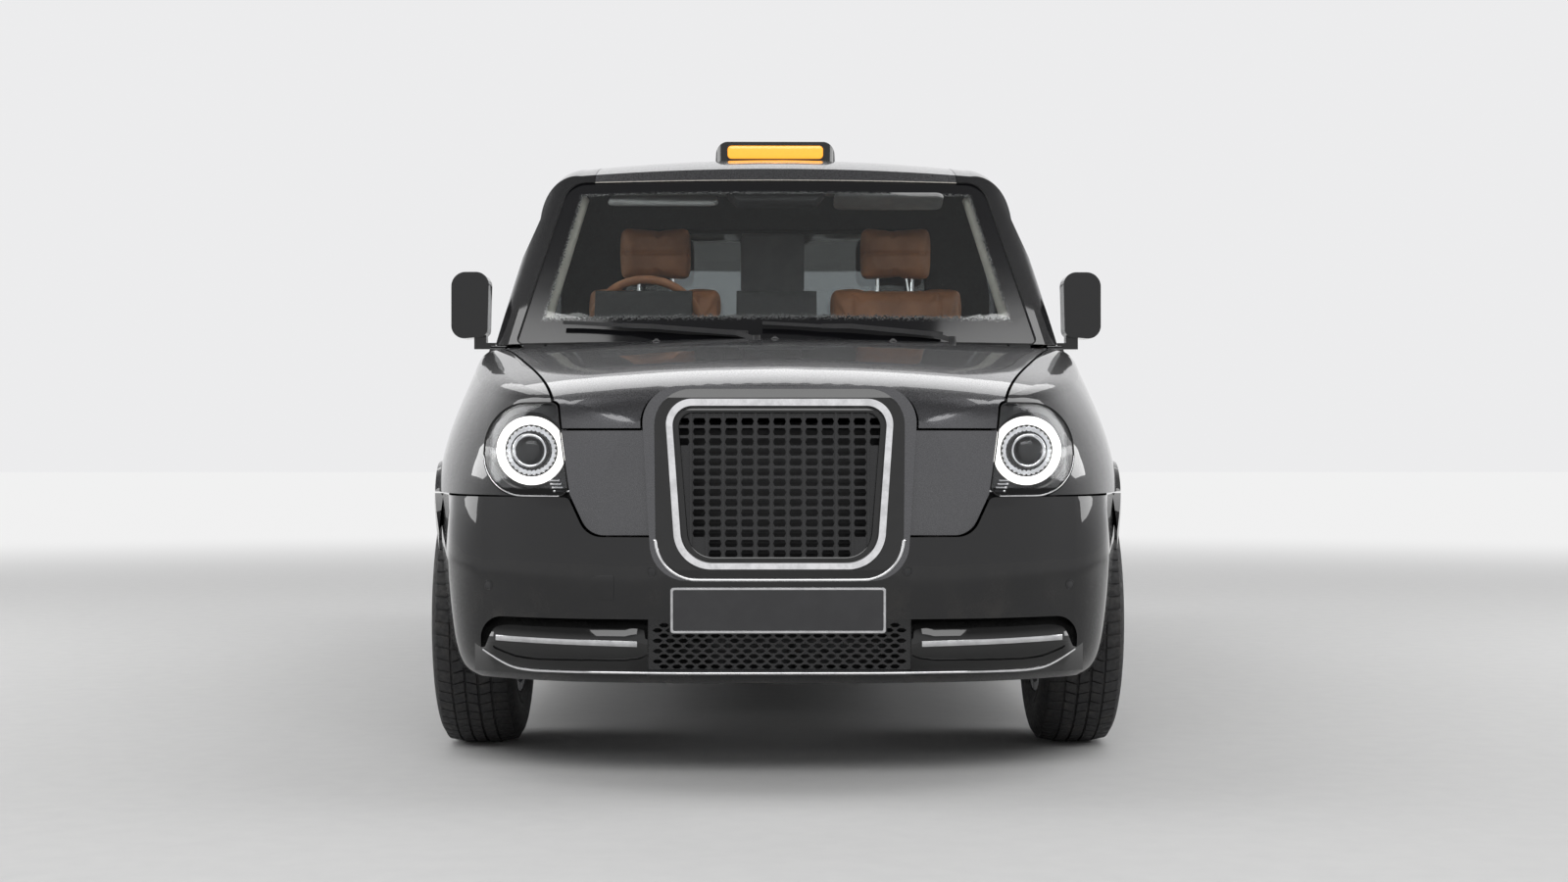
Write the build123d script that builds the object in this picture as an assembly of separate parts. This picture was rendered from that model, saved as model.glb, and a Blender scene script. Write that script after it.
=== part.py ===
from build123d import *
from functools import lru_cache
import math
import os

# Purpose-built city taxi cab, right-hand drive, with rear-hinged rear doors.
# Millimetres. X is across the car, the front faces -Y, Z is up, and the origin lies on the
# ground under the middle of the car. The driver sits on the -X side.

# Overall sizes
FRONT_OVERHANG = 830.0
WHEELBASE = 2986.0
REAR_OVERHANG = 1041.0
WIDTH = 1874.0
ROOF_HEIGHT = 1842.0
SIGN_TOP = 46.0

# Heights that the body lines follow
BELT_Z = 1120.0
WAIST_Z = 654.0
SILL_Z = 300.0
UNDER_Z = 235.0
FLOOR_Z = 365.0
REAR_DECK_Z = 565.0
DOOR_FOOT_Z = 345.0
BULKHEAD_TOP_Z = 1081.7

# Walls, and the gaps between panels
DOOR_WALL = 45.0
DOOR_FRAME_WALL = 24.0
BODY_WALL = 110.0
POST_START = 103.0
POST_END = 165.0
PILLAR_WALL = 60.0
ROOF_WALL = 36.0
TAILGATE_WALL = 50.0
WING_WALL = 26.0
BONNET_WALL = 18.0
NOSE_WALL = 10.0
BUMPER_WALL = 14.0
FLOOR_WALL = 20.0
LINER_WALL = 6.0
GLASS_INSET = 6.0
GLASS_WALL = 5.0
SHUT_GAP = 6.0
HINGE_GAP = 9.0
PANEL_GAP = 4.0
SEAT_FIT = 0.3
PIN_FIT = 0.06

# Side of the lower body: how far the sill and the belt lie inside the waist
SILL_TUCK = 45.0
BELT_TUCK = 78.0

# Wheels, steering and axles
TYRE_RADIUS = 355.0
TYRE_WIDTH = 215.0
RIM_RADIUS = 216.0
RIM_WIDTH = 190.0
SPOKES = 10
TRACK = 1614.0
ARCH_GAP = 50.0
FLARE_OUT = 10.0
KINGPIN_INSET = 60.0
STUB_RADIUS = 20.0
STUB_REACH = 46.0
KINGPIN_RADIUS = 12.0
FRONT_HOUSING_X = 438.0
REAR_HOUSING_X = 640.0
FRONT_BEAM_TOP = 300.0
LOWER_ARM_Z = (226.0, 246.0)
UPPER_ARM_Z = (486.0, 502.0)
KNUCKLE_Z = (250.0, 482.0)
TOWER_RISE = 20.0
DRIVE_UNIT_X = 210.0

# Rails from the bulkhead to the front bumper, and the crash cans at their ends
RAIL_INNER_X = 345.0
RAIL_OUTER_X = 430.0
RAIL_HEIGHT = 78.0
RAIL_CAN_OUTER_X = 520.0

# Doors
FRONT_DOOR_START = 505.0
FRONT_DOOR_LENGTH = 1070.0
REAR_DOOR_END = 450.0
DOOR_HINGE_INSET = 22.0
DOOR_HINGE_BACK = 70.0
DOOR_HINGE_HEIGHTS = (500.0, 810.0)
HINGE_PIN_RADIUS = 5.0
HINGE_EYE_RADIUS = 9.0
FRONT_DOOR_TOP_Z = 1600.0
B_POST_TOP_Z = 1672.0
REAR_DOOR_TOP_Z = 1688.0

# Windscreen: its middle line seen from the side, and half its width
SCREEN_FOOT_BACK = 353.0
SCREEN_SLOPE = 1.288
SCREEN_SAG_FOOT = 200.0
SCREEN_SAG_HEAD = 90.0
SCREEN_FOOT_Z = 1123.0
SCREEN_HEAD_Z = 1690.0
SCREEN_HALF_FOOT = 790.0
SCREEN_HALF_HEAD = 688.0
SCREEN_CORNER = 80.0

# Roof: where its crown and its rounded rails lie, and how far below the middle line
CROWN_X = 650.0
CROWN_DROP = 34.0
RAIL_X = 768.0
RAIL_DROP = 150.0
ROOF_SPLIT_X = 600.0

# Where the sills and the door posts start, measured from the middle plane
SILL_INNER_X = 720.0
POST_INNER_X = 690.0

# Tail: plan corners, lean of its face, tailgate and tailgate hinges
TAIL_CORNER = 150.0
TAIL_SAG = 60.0
TAIL_LEAN_TOP = 6.0
TAIL_LEAN_FOOT = 40.0
LOWER_LEVELS = 8
TAILGATE_FOOT_Z = 600.0
TAILGATE_HEAD_Z = 1738.0
TAIL_HINGE_X = 240.0
TAIL_PIN_RADIUS = 5.0
TAIL_EYE_RADIUS = 10.0

# Bonnet and its hinges
BONNET_REAR_X = 812.0
BONNET_REAR_GAP = 9.0
BONNET_SIDE_GAP = 7.5
BONNET_REAR_SAG = 140.0
BONNET_HINGE_X = 780.0
BONNET_HINGE_Z = 1100.0
BONNET_PIN_RADIUS = 4.0
BONNET_EYE_RADIUS = 7.0
BONNET_NOSE_X = 545.0
BONNET_FRONT_Z = 860.0
COWL_DROP = 12.0

# Nose: the shelf and top of the bumper, and the grille with its hexagonal mesh
BUMPER_TOP_Z = 692.0
SHELF_Z = 597.0
GRILLE_FOOT_Z = 493.0
GRILLE_TOP_Z = 964.0
GRILLE_HALF = 337.0
GRILLE_LEAN = 5.0
HEX_PITCH_X = 38.9
HEX_PITCH_Z = 24.6
HEX_COLUMNS = 13
HEX_ROWS = 17

# Wipers: spans along a blade, and how far arm and blade stand off the windscreen
WIPER_BLADE_SPANS = 3
WIPER_HEEL_Z = 1152.0
WIPER_ARM_OFF = 30.0
WIPER_BLADE_OFF = 17.0

# Cabin
DRIVER_X = -415.0
DASH_HALF = 688.0
COLUMN_TILT = 26.0
COLUMN_RADIUS = 16.0
BENCH_HALF = 615.0
PARTITION_WALL = 24.0

# Roof sign
SIGN_HALF = 213.0
SIGN_DEPTH = 190.0
SIGN_CORNER = 42.0
SIGN_Y = 20.0

# Places worked out from the sizes above
LENGTH = FRONT_OVERHANG + WHEELBASE + REAR_OVERHANG
NOSE_Y = -LENGTH / 2
TAIL_Y = LENGTH / 2
FRONT_AXLE_Y = NOSE_Y + FRONT_OVERHANG
REAR_AXLE_Y = FRONT_AXLE_Y + WHEELBASE
HALF_WIDTH = WIDTH / 2
BELT_X = HALF_WIDTH - BELT_TUCK
ARCH_RADIUS = TYRE_RADIUS + ARCH_GAP
LINER_RADIUS = ARCH_RADIUS + 6.0
WHEEL_X = TRACK / 2
KINGPIN_X = WHEEL_X - KINGPIN_INSET
FRONT_DOOR_Y = FRONT_AXLE_Y + FRONT_DOOR_START
B_POST_Y = FRONT_DOOR_Y + FRONT_DOOR_LENGTH
REAR_DOOR_Y = REAR_AXLE_Y - REAR_DOOR_END
DOOR_HINGE_X = HALF_WIDTH - DOOR_HINGE_INSET
FRONT_HINGE_Y = FRONT_DOOR_Y + DOOR_HINGE_BACK
REAR_HINGE_Y = REAR_DOOR_Y - DOOR_HINGE_BACK
BODY_TAIL_Y = TAIL_Y - 45.0
SCREEN_FOOT_Y = FRONT_AXLE_Y + SCREEN_FOOT_BACK
BULKHEAD_Y = FRONT_AXLE_Y + LINER_RADIUS + 20.0
PILLAR_FOOT_Y = FRONT_AXLE_Y + 633.0
PILLAR_SLOPE = SCREEN_SLOPE - 0.141
REAR_BUMPER_Y = REAR_AXLE_Y + 300.0
CORNER_FOOT_Z = TAILGATE_FOOT_Z + 92.0
TAIL_HINGE_Z = TAILGATE_HEAD_Z + 3.0
TAIL_HINGE_Y = BODY_TAIL_Y - 113.0
BONNET_REAR_Y = SCREEN_FOOT_Y + 75.0
BONNET_HINGE_Y = BONNET_REAR_Y + BONNET_REAR_GAP
BONNET_NOSE_Y = NOSE_Y + 98.0
WHEEL_CENTRE = (DRIVER_X, FRONT_DOOR_Y + 440, 1185.0)
PARTITION_Y = B_POST_Y + 90.0
GRILLE_PLANE = Plane(
    origin=(0, NOSE_Y + 6, GRILLE_FOOT_Z),
    x_dir=(1, 0, 0),
    z_dir=(0, -math.cos(math.radians(GRILLE_LEAN)), math.sin(math.radians(GRILLE_LEAN))),
)


# Blocks and bars

def outline(points, radii, plane):
    """A face from corner points with rounded corners, on a plane."""
    return plane * make_face(FilletPolyline(*points, radius=radii, close=True))


def side_prism(points, radii, x0, x1):
    """A block with an outline seen from the side, (y, z) points, from x0 to x1."""
    return extrude(outline(points, radii, Plane.YZ.offset(x0)), x1 - x0)


def front_prism(points, radii, y0, y1):
    """A block with an outline seen from the front, (x, z) points, from y0 to y1."""
    plane = Plane(origin=(0, y0, 0), x_dir=(1, 0, 0), z_dir=(0, -1, 0))
    return extrude(outline(points, radii, plane), y1 - y0, dir=(0, 1, 0))


def plan_prism(points, radii, z0, z1):
    """A block with an outline seen from above, (x, y) points, from z0 to z1."""
    return extrude(outline(points, radii, Plane.XY.offset(z0)), z1 - z0)


def box(x, y, z):
    """A block between two limits along each axis."""
    size = (x[1] - x[0], y[1] - y[0], z[1] - z[0])
    middle = ((x[0] + x[1]) / 2, (y[0] + y[1]) / 2, (z[0] + z[1]) / 2)
    return Pos(*middle) * Box(*size)


def rod(start, end, radius):
    """A round bar between two points."""
    start, end = Vector(*start), Vector(*end)
    plane = Plane(origin=start, z_dir=(end - start).normalized())
    return extrude(plane * Circle(radius), (end - start).length)


def on_side(shape, sign):
    """A piece drawn on the +X side, on the side with that sign."""
    return shape if sign > 0 else mirror(shape, about=Plane.YZ)


def both(shape):
    """A piece drawn on the +X side and its mirror image."""
    return Compound(children=[*Part([shape]).solids(), *Part([on_side(shape, -1)]).solids()])


# Main forms of the body

def side_x(z):
    """Half the lower body's width at a height, on the arcs above and below the waist."""
    tuck, rise = (BELT_TUCK, BELT_Z - WAIST_Z) if z > WAIST_Z else (SILL_TUCK, WAIST_Z - SILL_Z)
    radius = (tuck**2 + rise**2) / (2 * tuck)
    return HALF_WIDTH - radius + math.sqrt(radius**2 - (z - WAIST_Z) ** 2)


def front_section(y, half, lean, shoulder_z, top_z, radius, bottom_z):
    """A closed cross-section of the front body at one place along it."""
    up = Vector(0, 0, 1)
    bottom, waist = Vector(half - SILL_TUCK, y, bottom_z), Vector(half, y, WAIST_Z)
    shoulder, top = Vector(half - lean, y, shoulder_z), Vector(0, y, top_z)

    def other(v):
        return Vector(-v.X, v.Y, v.Z)

    edges = [
        Edge.make_line(other(bottom), bottom),
        Edge.make_tangent_arc(waist, -up, bottom),
        Edge.make_tangent_arc(waist, up, shoulder),
        Edge.make_three_point_arc(shoulder, top, other(shoulder)),
        Edge.make_tangent_arc(other(waist), up, other(shoulder)),
        Edge.make_tangent_arc(other(waist), -up, other(bottom)),
    ]
    face = Face(Wire(edges))
    face = face.fillet_2d(radius, [v for v in face.vertices() if abs(v.Z - shoulder_z) < 1e-6])
    return face.outer_wire()


# Columns: distance ahead of the front axle, half width less HALF_WIDTH, how far the shoulder
# lies inside that, shoulder height, height on the middle line, shoulder radius
FRONT_STATIONS = [
    (-800.0, 0.0, 78.0, 1120.0, 1152.0, 30.0),
    (-600.0, 0.0, 75.0, 1112.0, 1147.0, 40.0),
    (-400.0, 0.0, 71.0, 1098.0, 1138.0, 50.0),
    (-200.0, 0.0, 90.0, 1078.0, 1122.0, 60.0),
    (0.0, -3.0, 116.0, 1050.0, 1100.0, 70.0),
    (200.0, -24.0, 132.0, 1020.0, 1073.0, 80.0),
    (400.0, -72.0, 135.0, 990.0, 1045.0, 90.0),
    (560.0, -140.0, 130.0, 962.0, 1018.0, 90.0),
    (670.0, -225.0, 118.0, 936.0, 990.0, 90.0),
    (740.0, -340.0, 100.0, 908.0, 962.0, 80.0),
    (785.0, -500.0, 80.0, 872.0, 925.0, 70.0),
]


@lru_cache
def front_form(inset):
    """The bonnet, wings and nose as one solid, drawn in by inset."""
    reach = FRONT_STATIONS[-1][0]
    wires = []
    for ahead, wider, lean, shoulder_z, top_z, radius in FRONT_STATIONS:
        half = HALF_WIDTH + wider - inset
        y = FRONT_AXLE_Y - ahead + inset * max(ahead, 0.0) / reach
        wires.append(
            front_section(y, half, lean, shoulder_z - inset, top_z - inset, radius, SILL_Z + inset)
        )
    return Solid.make_loft(wires)


def tail_corners(half, tail):
    """The points of a plan outline at its tail, from the +X side to the -X side."""
    return Vector(half, tail - TAIL_SAG), Vector(0, tail), Vector(-half, tail - TAIL_SAG)


def plan_outline(z, half, front, sag, tail, front_corner, inset):
    """A closed plan outline of the cabin at one height, with rounded corners."""
    c, d, e = (Vector(v.X, v.Y, z) for v in tail_corners(half, tail))
    a, b = Vector(-half, front + sag, z), Vector(half, front + sag, z)
    if sag:
        head = Edge.make_three_point_arc(a, Vector(0, front, z), b)
    else:
        head = Edge.make_line(a, b)
    edges = [head, Edge.make_line(b, c), Edge.make_three_point_arc(c, d, e), Edge.make_line(e, a)]
    face = Face(Wire(edges))
    if front_corner:
        heads = [v for v in face.vertices() if v.Y < (front + tail) / 2]
        face = face.fillet_2d(front_corner - inset / 2, heads)
    tails = [v for v in face.vertices() if abs(v.Y - c.Y) < 1e-6]
    return face.fillet_2d(TAIL_CORNER - inset / 2, tails).outer_wire()


@lru_cache
def cab_lower(inset):
    """The cab below the belt line as one solid, drawn in by inset at its sides, tail and foot."""
    foot = UNDER_Z + inset
    wires = []
    for i in range(LOWER_LEVELS + 1):
        z = foot + (BELT_Z - foot) * i / LOWER_LEVELS
        if z > WAIST_Z:
            lean = TAIL_LEAN_TOP * ((z - WAIST_Z) / (BELT_Z - WAIST_Z)) ** 2
        else:
            lean = TAIL_LEAN_FOOT * ((WAIST_Z - z) / (WAIST_Z - UNDER_Z)) ** 2
        tail = BODY_TAIL_Y - lean - inset
        wires.append(plan_outline(z, side_x(z) - inset, FRONT_AXLE_Y + 350.0, 0, tail, 0, inset))
    return Solid.make_loft(wires)


# Columns: height, half width less BELT_X, windscreen's sag in plan, distance of the tail
# ahead of BODY_TAIL_Y
UPPER_LEVELS = [
    (BELT_Z, 0.0, SCREEN_SAG_FOOT, TAIL_LEAN_TOP),
    (1510.0, -60.0, 145.0, 66.0),
    (1900.0, -136.0, SCREEN_SAG_HEAD, 150.0),
]

# Columns: place along the car, roof height less ROOF_HEIGHT
ROOF_STATIONS = [
    (-1300.0, -420.0),
    (-1100.0, -335.0),
    (-900.0, -258.0),
    (-700.0, -186.0),
    (-500.0, -122.0),
    (-300.0, -70.0),
    (-100.0, -34.0),
    (150.0, -9.0),
    (450.0, 0.0),
    (850.0, 0.0),
    (1250.0, -4.0),
    (1650.0, -16.0),
    (2050.0, -39.0),
    (2450.0, -76.0),
]


def screen_y(z):
    """Where the windscreen's middle line lies at a height."""
    return SCREEN_FOOT_Y + (z - BELT_Z) * SCREEN_SLOPE


def roof_section(y, top, inset):
    """A closed cross-section that is bounded above by the roof and its rounded sides."""
    crown, rail = CROWN_X - inset * 0.6, RAIL_X - inset
    foot, hip = Vector(1000, y, BELT_Z - 220), Vector(1000, y, BELT_Z - 120)
    eave, side = Vector(crown, y, top - CROWN_DROP), Vector(rail, y, top - RAIL_DROP)
    bulge = Vector(0.28 * (rail - crown), 0, 0.16 * (RAIL_DROP - CROWN_DROP))
    knee = eave + (side - eave) * 0.5 + bulge

    def other(v):
        return Vector(-v.X, v.Y, v.Z)

    return Wire([
        Edge.make_line(other(foot), foot),
        Edge.make_line(foot, hip),
        Edge.make_line(hip, side),
        Edge.make_three_point_arc(side, knee, eave),
        Edge.make_three_point_arc(eave, Vector(0, y, top), other(eave)),
        Edge.make_three_point_arc(other(eave), other(knee), other(side)),
        Edge.make_line(other(side), other(hip)),
        Edge.make_line(other(hip), other(foot)),
    ])


@lru_cache
def cab_upper(inset):
    """The cabin above the belt line as one solid, drawn in by inset."""
    walls = []
    for z, wider, sag, ahead in UPPER_LEVELS:
        half = BELT_X + wider - inset
        front = screen_y(z) + inset * 1.3
        tail = BODY_TAIL_Y - ahead - inset
        walls.append(plan_outline(z, half, front, sag, tail, SCREEN_CORNER, inset))
    roof = [roof_section(y, ROOF_HEIGHT + lower - inset, inset) for y, lower in ROOF_STATIONS]
    return Solid.make_loft(walls) & Solid.make_loft(roof)


def cab_wall(outside, inside, region, upper_inside=None):
    """The cab's wall between two insets, within a region, across the belt line."""
    lower = (cab_lower(outside) & region) - cab_lower(inside)
    upper = (cab_upper(outside) & region) - cab_upper(upper_inside or inside)
    return lower + upper


# Openings in the sides, seen from the side, on the +X side


def pillar_y(z):
    """The front edge of the front door's upper frame at a height."""
    return PILLAR_FOOT_Y + (z - BELT_Z) * PILLAR_SLOPE


def front_door_block(grow, x0=560.0, x1=1100.0):
    """What the front door covers, seen from the side, grown by a gap."""
    front = FRONT_DOOR_Y - (HINGE_GAP if grow else 0.0)
    back = B_POST_Y - SHUT_GAP / 2 + grow
    points = [
        (front, DOOR_FOOT_Z - grow),
        (front, BELT_Z - 2.0 + grow),
        (pillar_y(BELT_Z) - grow * 1.5, BELT_Z - 2.0 + grow),
        (pillar_y(FRONT_DOOR_TOP_Z) - grow * 1.2, FRONT_DOOR_TOP_Z + grow),
        (B_POST_Y - 170.0, 1652.0 + grow),
        (back, B_POST_TOP_Z + grow),
        (back, DOOR_FOOT_Z - grow),
    ]
    return side_prism(points, [40, 12, 25, 70, 350, 20, 30], x0, x1)


def rear_door_block(grow, x0=560.0, x1=1100.0):
    """What the rear door covers, seen from the side, grown by a gap."""
    front = B_POST_Y + SHUT_GAP / 2 - grow
    back = REAR_DOOR_Y + (HINGE_GAP if grow else 0.0)
    points = [
        (front, DOOR_FOOT_Z - grow),
        (front, B_POST_TOP_Z + grow),
        (B_POST_Y + 260.0, REAR_DOOR_TOP_Z + grow),
        (back, REAR_DOOR_TOP_Z + grow),
        (back, DOOR_FOOT_Z - grow),
    ]
    return side_prism(points, [30, 20, 600, 90, 40], x0, x1)


def front_window(grow, x0=560.0, x1=1100.0):
    """The front door's window, seen from the side."""
    sill, back = BELT_Z + 24.0 - grow, B_POST_Y - 72.0 + grow
    points = [
        (pillar_y(sill) + 78.0 - grow * 1.5, sill),
        (pillar_y(FRONT_DOOR_TOP_Z - 42) + 78.0 - grow, FRONT_DOOR_TOP_Z - 42.0 + grow),
        (B_POST_Y - 190.0, 1606.0 + grow),
        (back, 1622.0 + grow),
        (back, sill),
    ]
    return side_prism(points, [25, 60, 350, 25, 25], x0, x1)


def rear_window(grow, x0=560.0, x1=1100.0):
    """The rear door's window, seen from the side."""
    sill, front, back = BELT_Z + 24.0 - grow, B_POST_Y + 72.0 - grow, REAR_DOOR_Y - 68.0 + grow
    points = [
        (front, sill),
        (front, 1628.0 + grow),
        (B_POST_Y + 280.0, 1642.0 + grow),
        (back, 1642.0 + grow),
        (back, sill),
    ]
    return side_prism(points, [25, 25, 600, 60, 25], x0, x1)


def quarter_window(grow, x0=560.0, x1=1100.0):
    """The window behind the rear door, seen from the side."""
    sill, front = BELT_Z + 28.0 - grow, REAR_DOOR_Y + 85.0 - grow
    points = [
        (front, sill),
        (front, 1640.0 + grow),
        (REAR_AXLE_Y + 420.0 + grow, 1632.0 + grow),
        (REAR_AXLE_Y + 560.0 + grow, sill),
    ]
    return side_prism(points, [30, 50, 120, 60], x0, x1)


def arch_cut(axle_y, radius, x0, x1):
    """A wheel arch's round cut, from x0 to x1."""
    return rod((x0, axle_y, TYRE_RADIUS), (x1, axle_y, TYRE_RADIUS), radius)


# Windscreen and tailgate openings, seen from the front


def screen_block(grow):
    """The windscreen's opening."""
    head, foot = SCREEN_HEAD_Z + grow, SCREEN_FOOT_Z - grow
    points = [(-SCREEN_HALF_FOOT - grow, foot), (SCREEN_HALF_FOOT + grow, foot),
              (SCREEN_HALF_HEAD + grow, head), (-SCREEN_HALF_HEAD - grow, head)]
    return front_prism(points, [20, 20, 70, 70], SCREEN_FOOT_Y - 160.0, screen_y(SCREEN_HEAD_Z) + 270.0)


def tailgate_block(grow):
    """What the tailgate covers."""
    right = [
        (640.0 + grow, TAILGATE_FOOT_Z - grow),
        (690.0 + grow, BELT_Z - 20.0),
        (572.0 + grow, TAILGATE_HEAD_Z + grow),
    ]
    points = right + [(-x, z) for x, z in reversed(right)]
    return front_prism(points, [40, 200, 50, 50, 200, 40], BODY_TAIL_Y - 300.0, TAIL_Y + 50.0)


def tail_window(grow):
    """The tailgate's window."""
    right = [(590.0 + grow, 1175.0 - grow), (500.0 + grow, 1655.0 + grow)]
    points = right + [(-x, z) for x, z in reversed(right)]
    return front_prism(points, [45, 60, 60, 45], BODY_TAIL_Y - 330.0, TAIL_Y + 60.0)


def tail_lamp_block(grow):
    """The tail lamp's place on the +X rear corner, seen from behind."""
    inner, foot, top = 712.0 - grow, 760.0 - grow, 1085.0 + grow
    points = [(inner, foot), (1000.0, foot), (1000.0, top), (inner, top)]
    return front_prism(points, [18, 1, 1, 18], BODY_TAIL_Y - 110.0 - grow, TAIL_Y + 50.0)


# Bumpers

# Columns: height, how far the nose, its shoulders and its corners lie behind NOSE_Y, sides drawn in
FRONT_BUMPER_LEVELS = [
    (UNDER_Z + 5, 75.0, 118.0, 262.0, 52.0),
    (SILL_Z, 22.0, 66.0, 212.0, 24.0),
    (420.0, 3.0, 48.0, 192.0, 8.0),
    (560.0, 3.0, 48.0, 192.0, 0.0),
    (640.0, 13.0, 56.0, 202.0, 3.0),
    (700.0, 30.0, 68.0, 216.0, 6.0),
]


def level_top(z, inset):
    """The height of a bumper's level, drawn in at the top and the foot."""
    return z - (inset if z > 600.0 else -inset if z < 260.0 else 0.0)


@lru_cache
def front_bumper_form(inset):
    """The front bumper's outer form as one solid, drawn in by inset."""
    wires = []
    for z, nose, shoulder, corner, narrow in FRONT_BUMPER_LEVELS:
        side = HALF_WIDTH - narrow - inset
        right = [
            (side, FRONT_AXLE_Y - 90.0),
            (side - 68.0, FRONT_AXLE_Y - 392.0),
            (side - 122.0 + inset * 0.13, NOSE_Y + corner + inset * 0.65),
            (560.0 - inset * 0.33, NOSE_Y + shoulder + inset * 0.97),
            (250.0, NOSE_Y + nose + inset),
        ]
        points = right + [(-x, y) for x, y in reversed(right)]
        radii = [0, 300, 210, 650, 650]
        plane = Plane.XY.offset(level_top(z, inset))
        wires.append(outline(points, radii + radii[::-1], plane).face().outer_wire())
    return Solid.make_loft(wires)


# Columns: height, how far the tail lies ahead of TAIL_Y
REAR_BUMPER_LEVELS = [
    (UNDER_Z + 5, 75.0),
    (SILL_Z, 22.0),
    (420.0, 3.0),
    (560.0, 3.0),
    (640.0, 22.0),
    (700.0, 66.0),
]


@lru_cache
def rear_bumper_form(inset):
    """The rear bumper's outer form as one solid, drawn in by inset."""
    wires = []
    for z, ahead in REAR_BUMPER_LEVELS:
        half, tail = side_x(z) - inset, TAIL_Y - ahead - inset
        right = [(half, REAR_AXLE_Y + 150.0), (half, tail - 130.0), (330.0, tail)]
        points = right + [(-x, y) for x, y in reversed(right)]
        plane = Plane.XY.offset(level_top(z, inset))
        wires.append(outline(points, [0, 130, 700, 700, 130, 0], plane).face().outer_wire())
    return Solid.make_loft(wires)


# Doors and the side of the body

def hinge_pocket(y, edge_y, z):
    """The room inside a door's edge for one hinge."""
    back = y - math.copysign(14.0, edge_y - y)
    edge = edge_y + math.copysign(20.0, edge_y - y)
    return box((DOOR_HINGE_X - 120, DOOR_HINGE_X + 10.5), sorted((back, edge)), (z - 32, z + 32))


def door(block, window, hinge_y, edge_y):
    """A side door with its window cut and its hinge pins, on the +X side."""
    leaf = cab_wall(0, DOOR_WALL, block(0), DOOR_FRAME_WALL) - window(0)
    for z in DOOR_HINGE_HEIGHTS:
        leaf -= hinge_pocket(hinge_y, edge_y, z)
        leaf += rod((DOOR_HINGE_X, hinge_y, z - 33), (DOOR_HINGE_X, hinge_y, z + 33), HINGE_PIN_RADIUS)
    return leaf


def hinge_arm(y, z):
    """A fixed hinge arm: an eye round the door's pin, and an arm from the post."""
    eye = Pos(DOOR_HINGE_X, y, z) * Cylinder(HINGE_EYE_RADIUS, 28)
    arm = box((side_x(z) - POST_START - 8, DOOR_HINGE_X), (y - 7, y + 7), (z - 14, z + 14))
    bore = Pos(DOOR_HINGE_X, y, z) * Cylinder(HINGE_PIN_RADIUS + PIN_FIT, 40)
    return eye + arm - bore - cab_lower(POST_START - SEAT_FIT)


def door_glass(window):
    """A side window's glass, let into its frame, on the +X side."""
    return (cab_upper(GLASS_INSET) & window(-SEAT_FIT)) - cab_upper(GLASS_INSET + GLASS_WALL)


def arch_flare(axle_y, form):
    """The lip that stands out of a form round a wheel arch to cover the tyre."""
    foot, lip = HALF_WIDTH - 52.0, HALF_WIDTH - 1.0
    upright = (Align.CENTER, Align.CENTER, Align.MIN)
    cone = Cone(ARCH_RADIUS + 36, ARCH_RADIUS + 14, lip - foot, align=upright)
    cone = Pos(foot, axle_y, TYRE_RADIUS) * Rot(0, 90, 0) * cone
    zone = box((foot, lip), (axle_y - 500, axle_y + 500), (SILL_Z, 800))
    return (cone & zone) - [arch_cut(axle_y, ARCH_RADIUS, 500, 1000), form]


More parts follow.
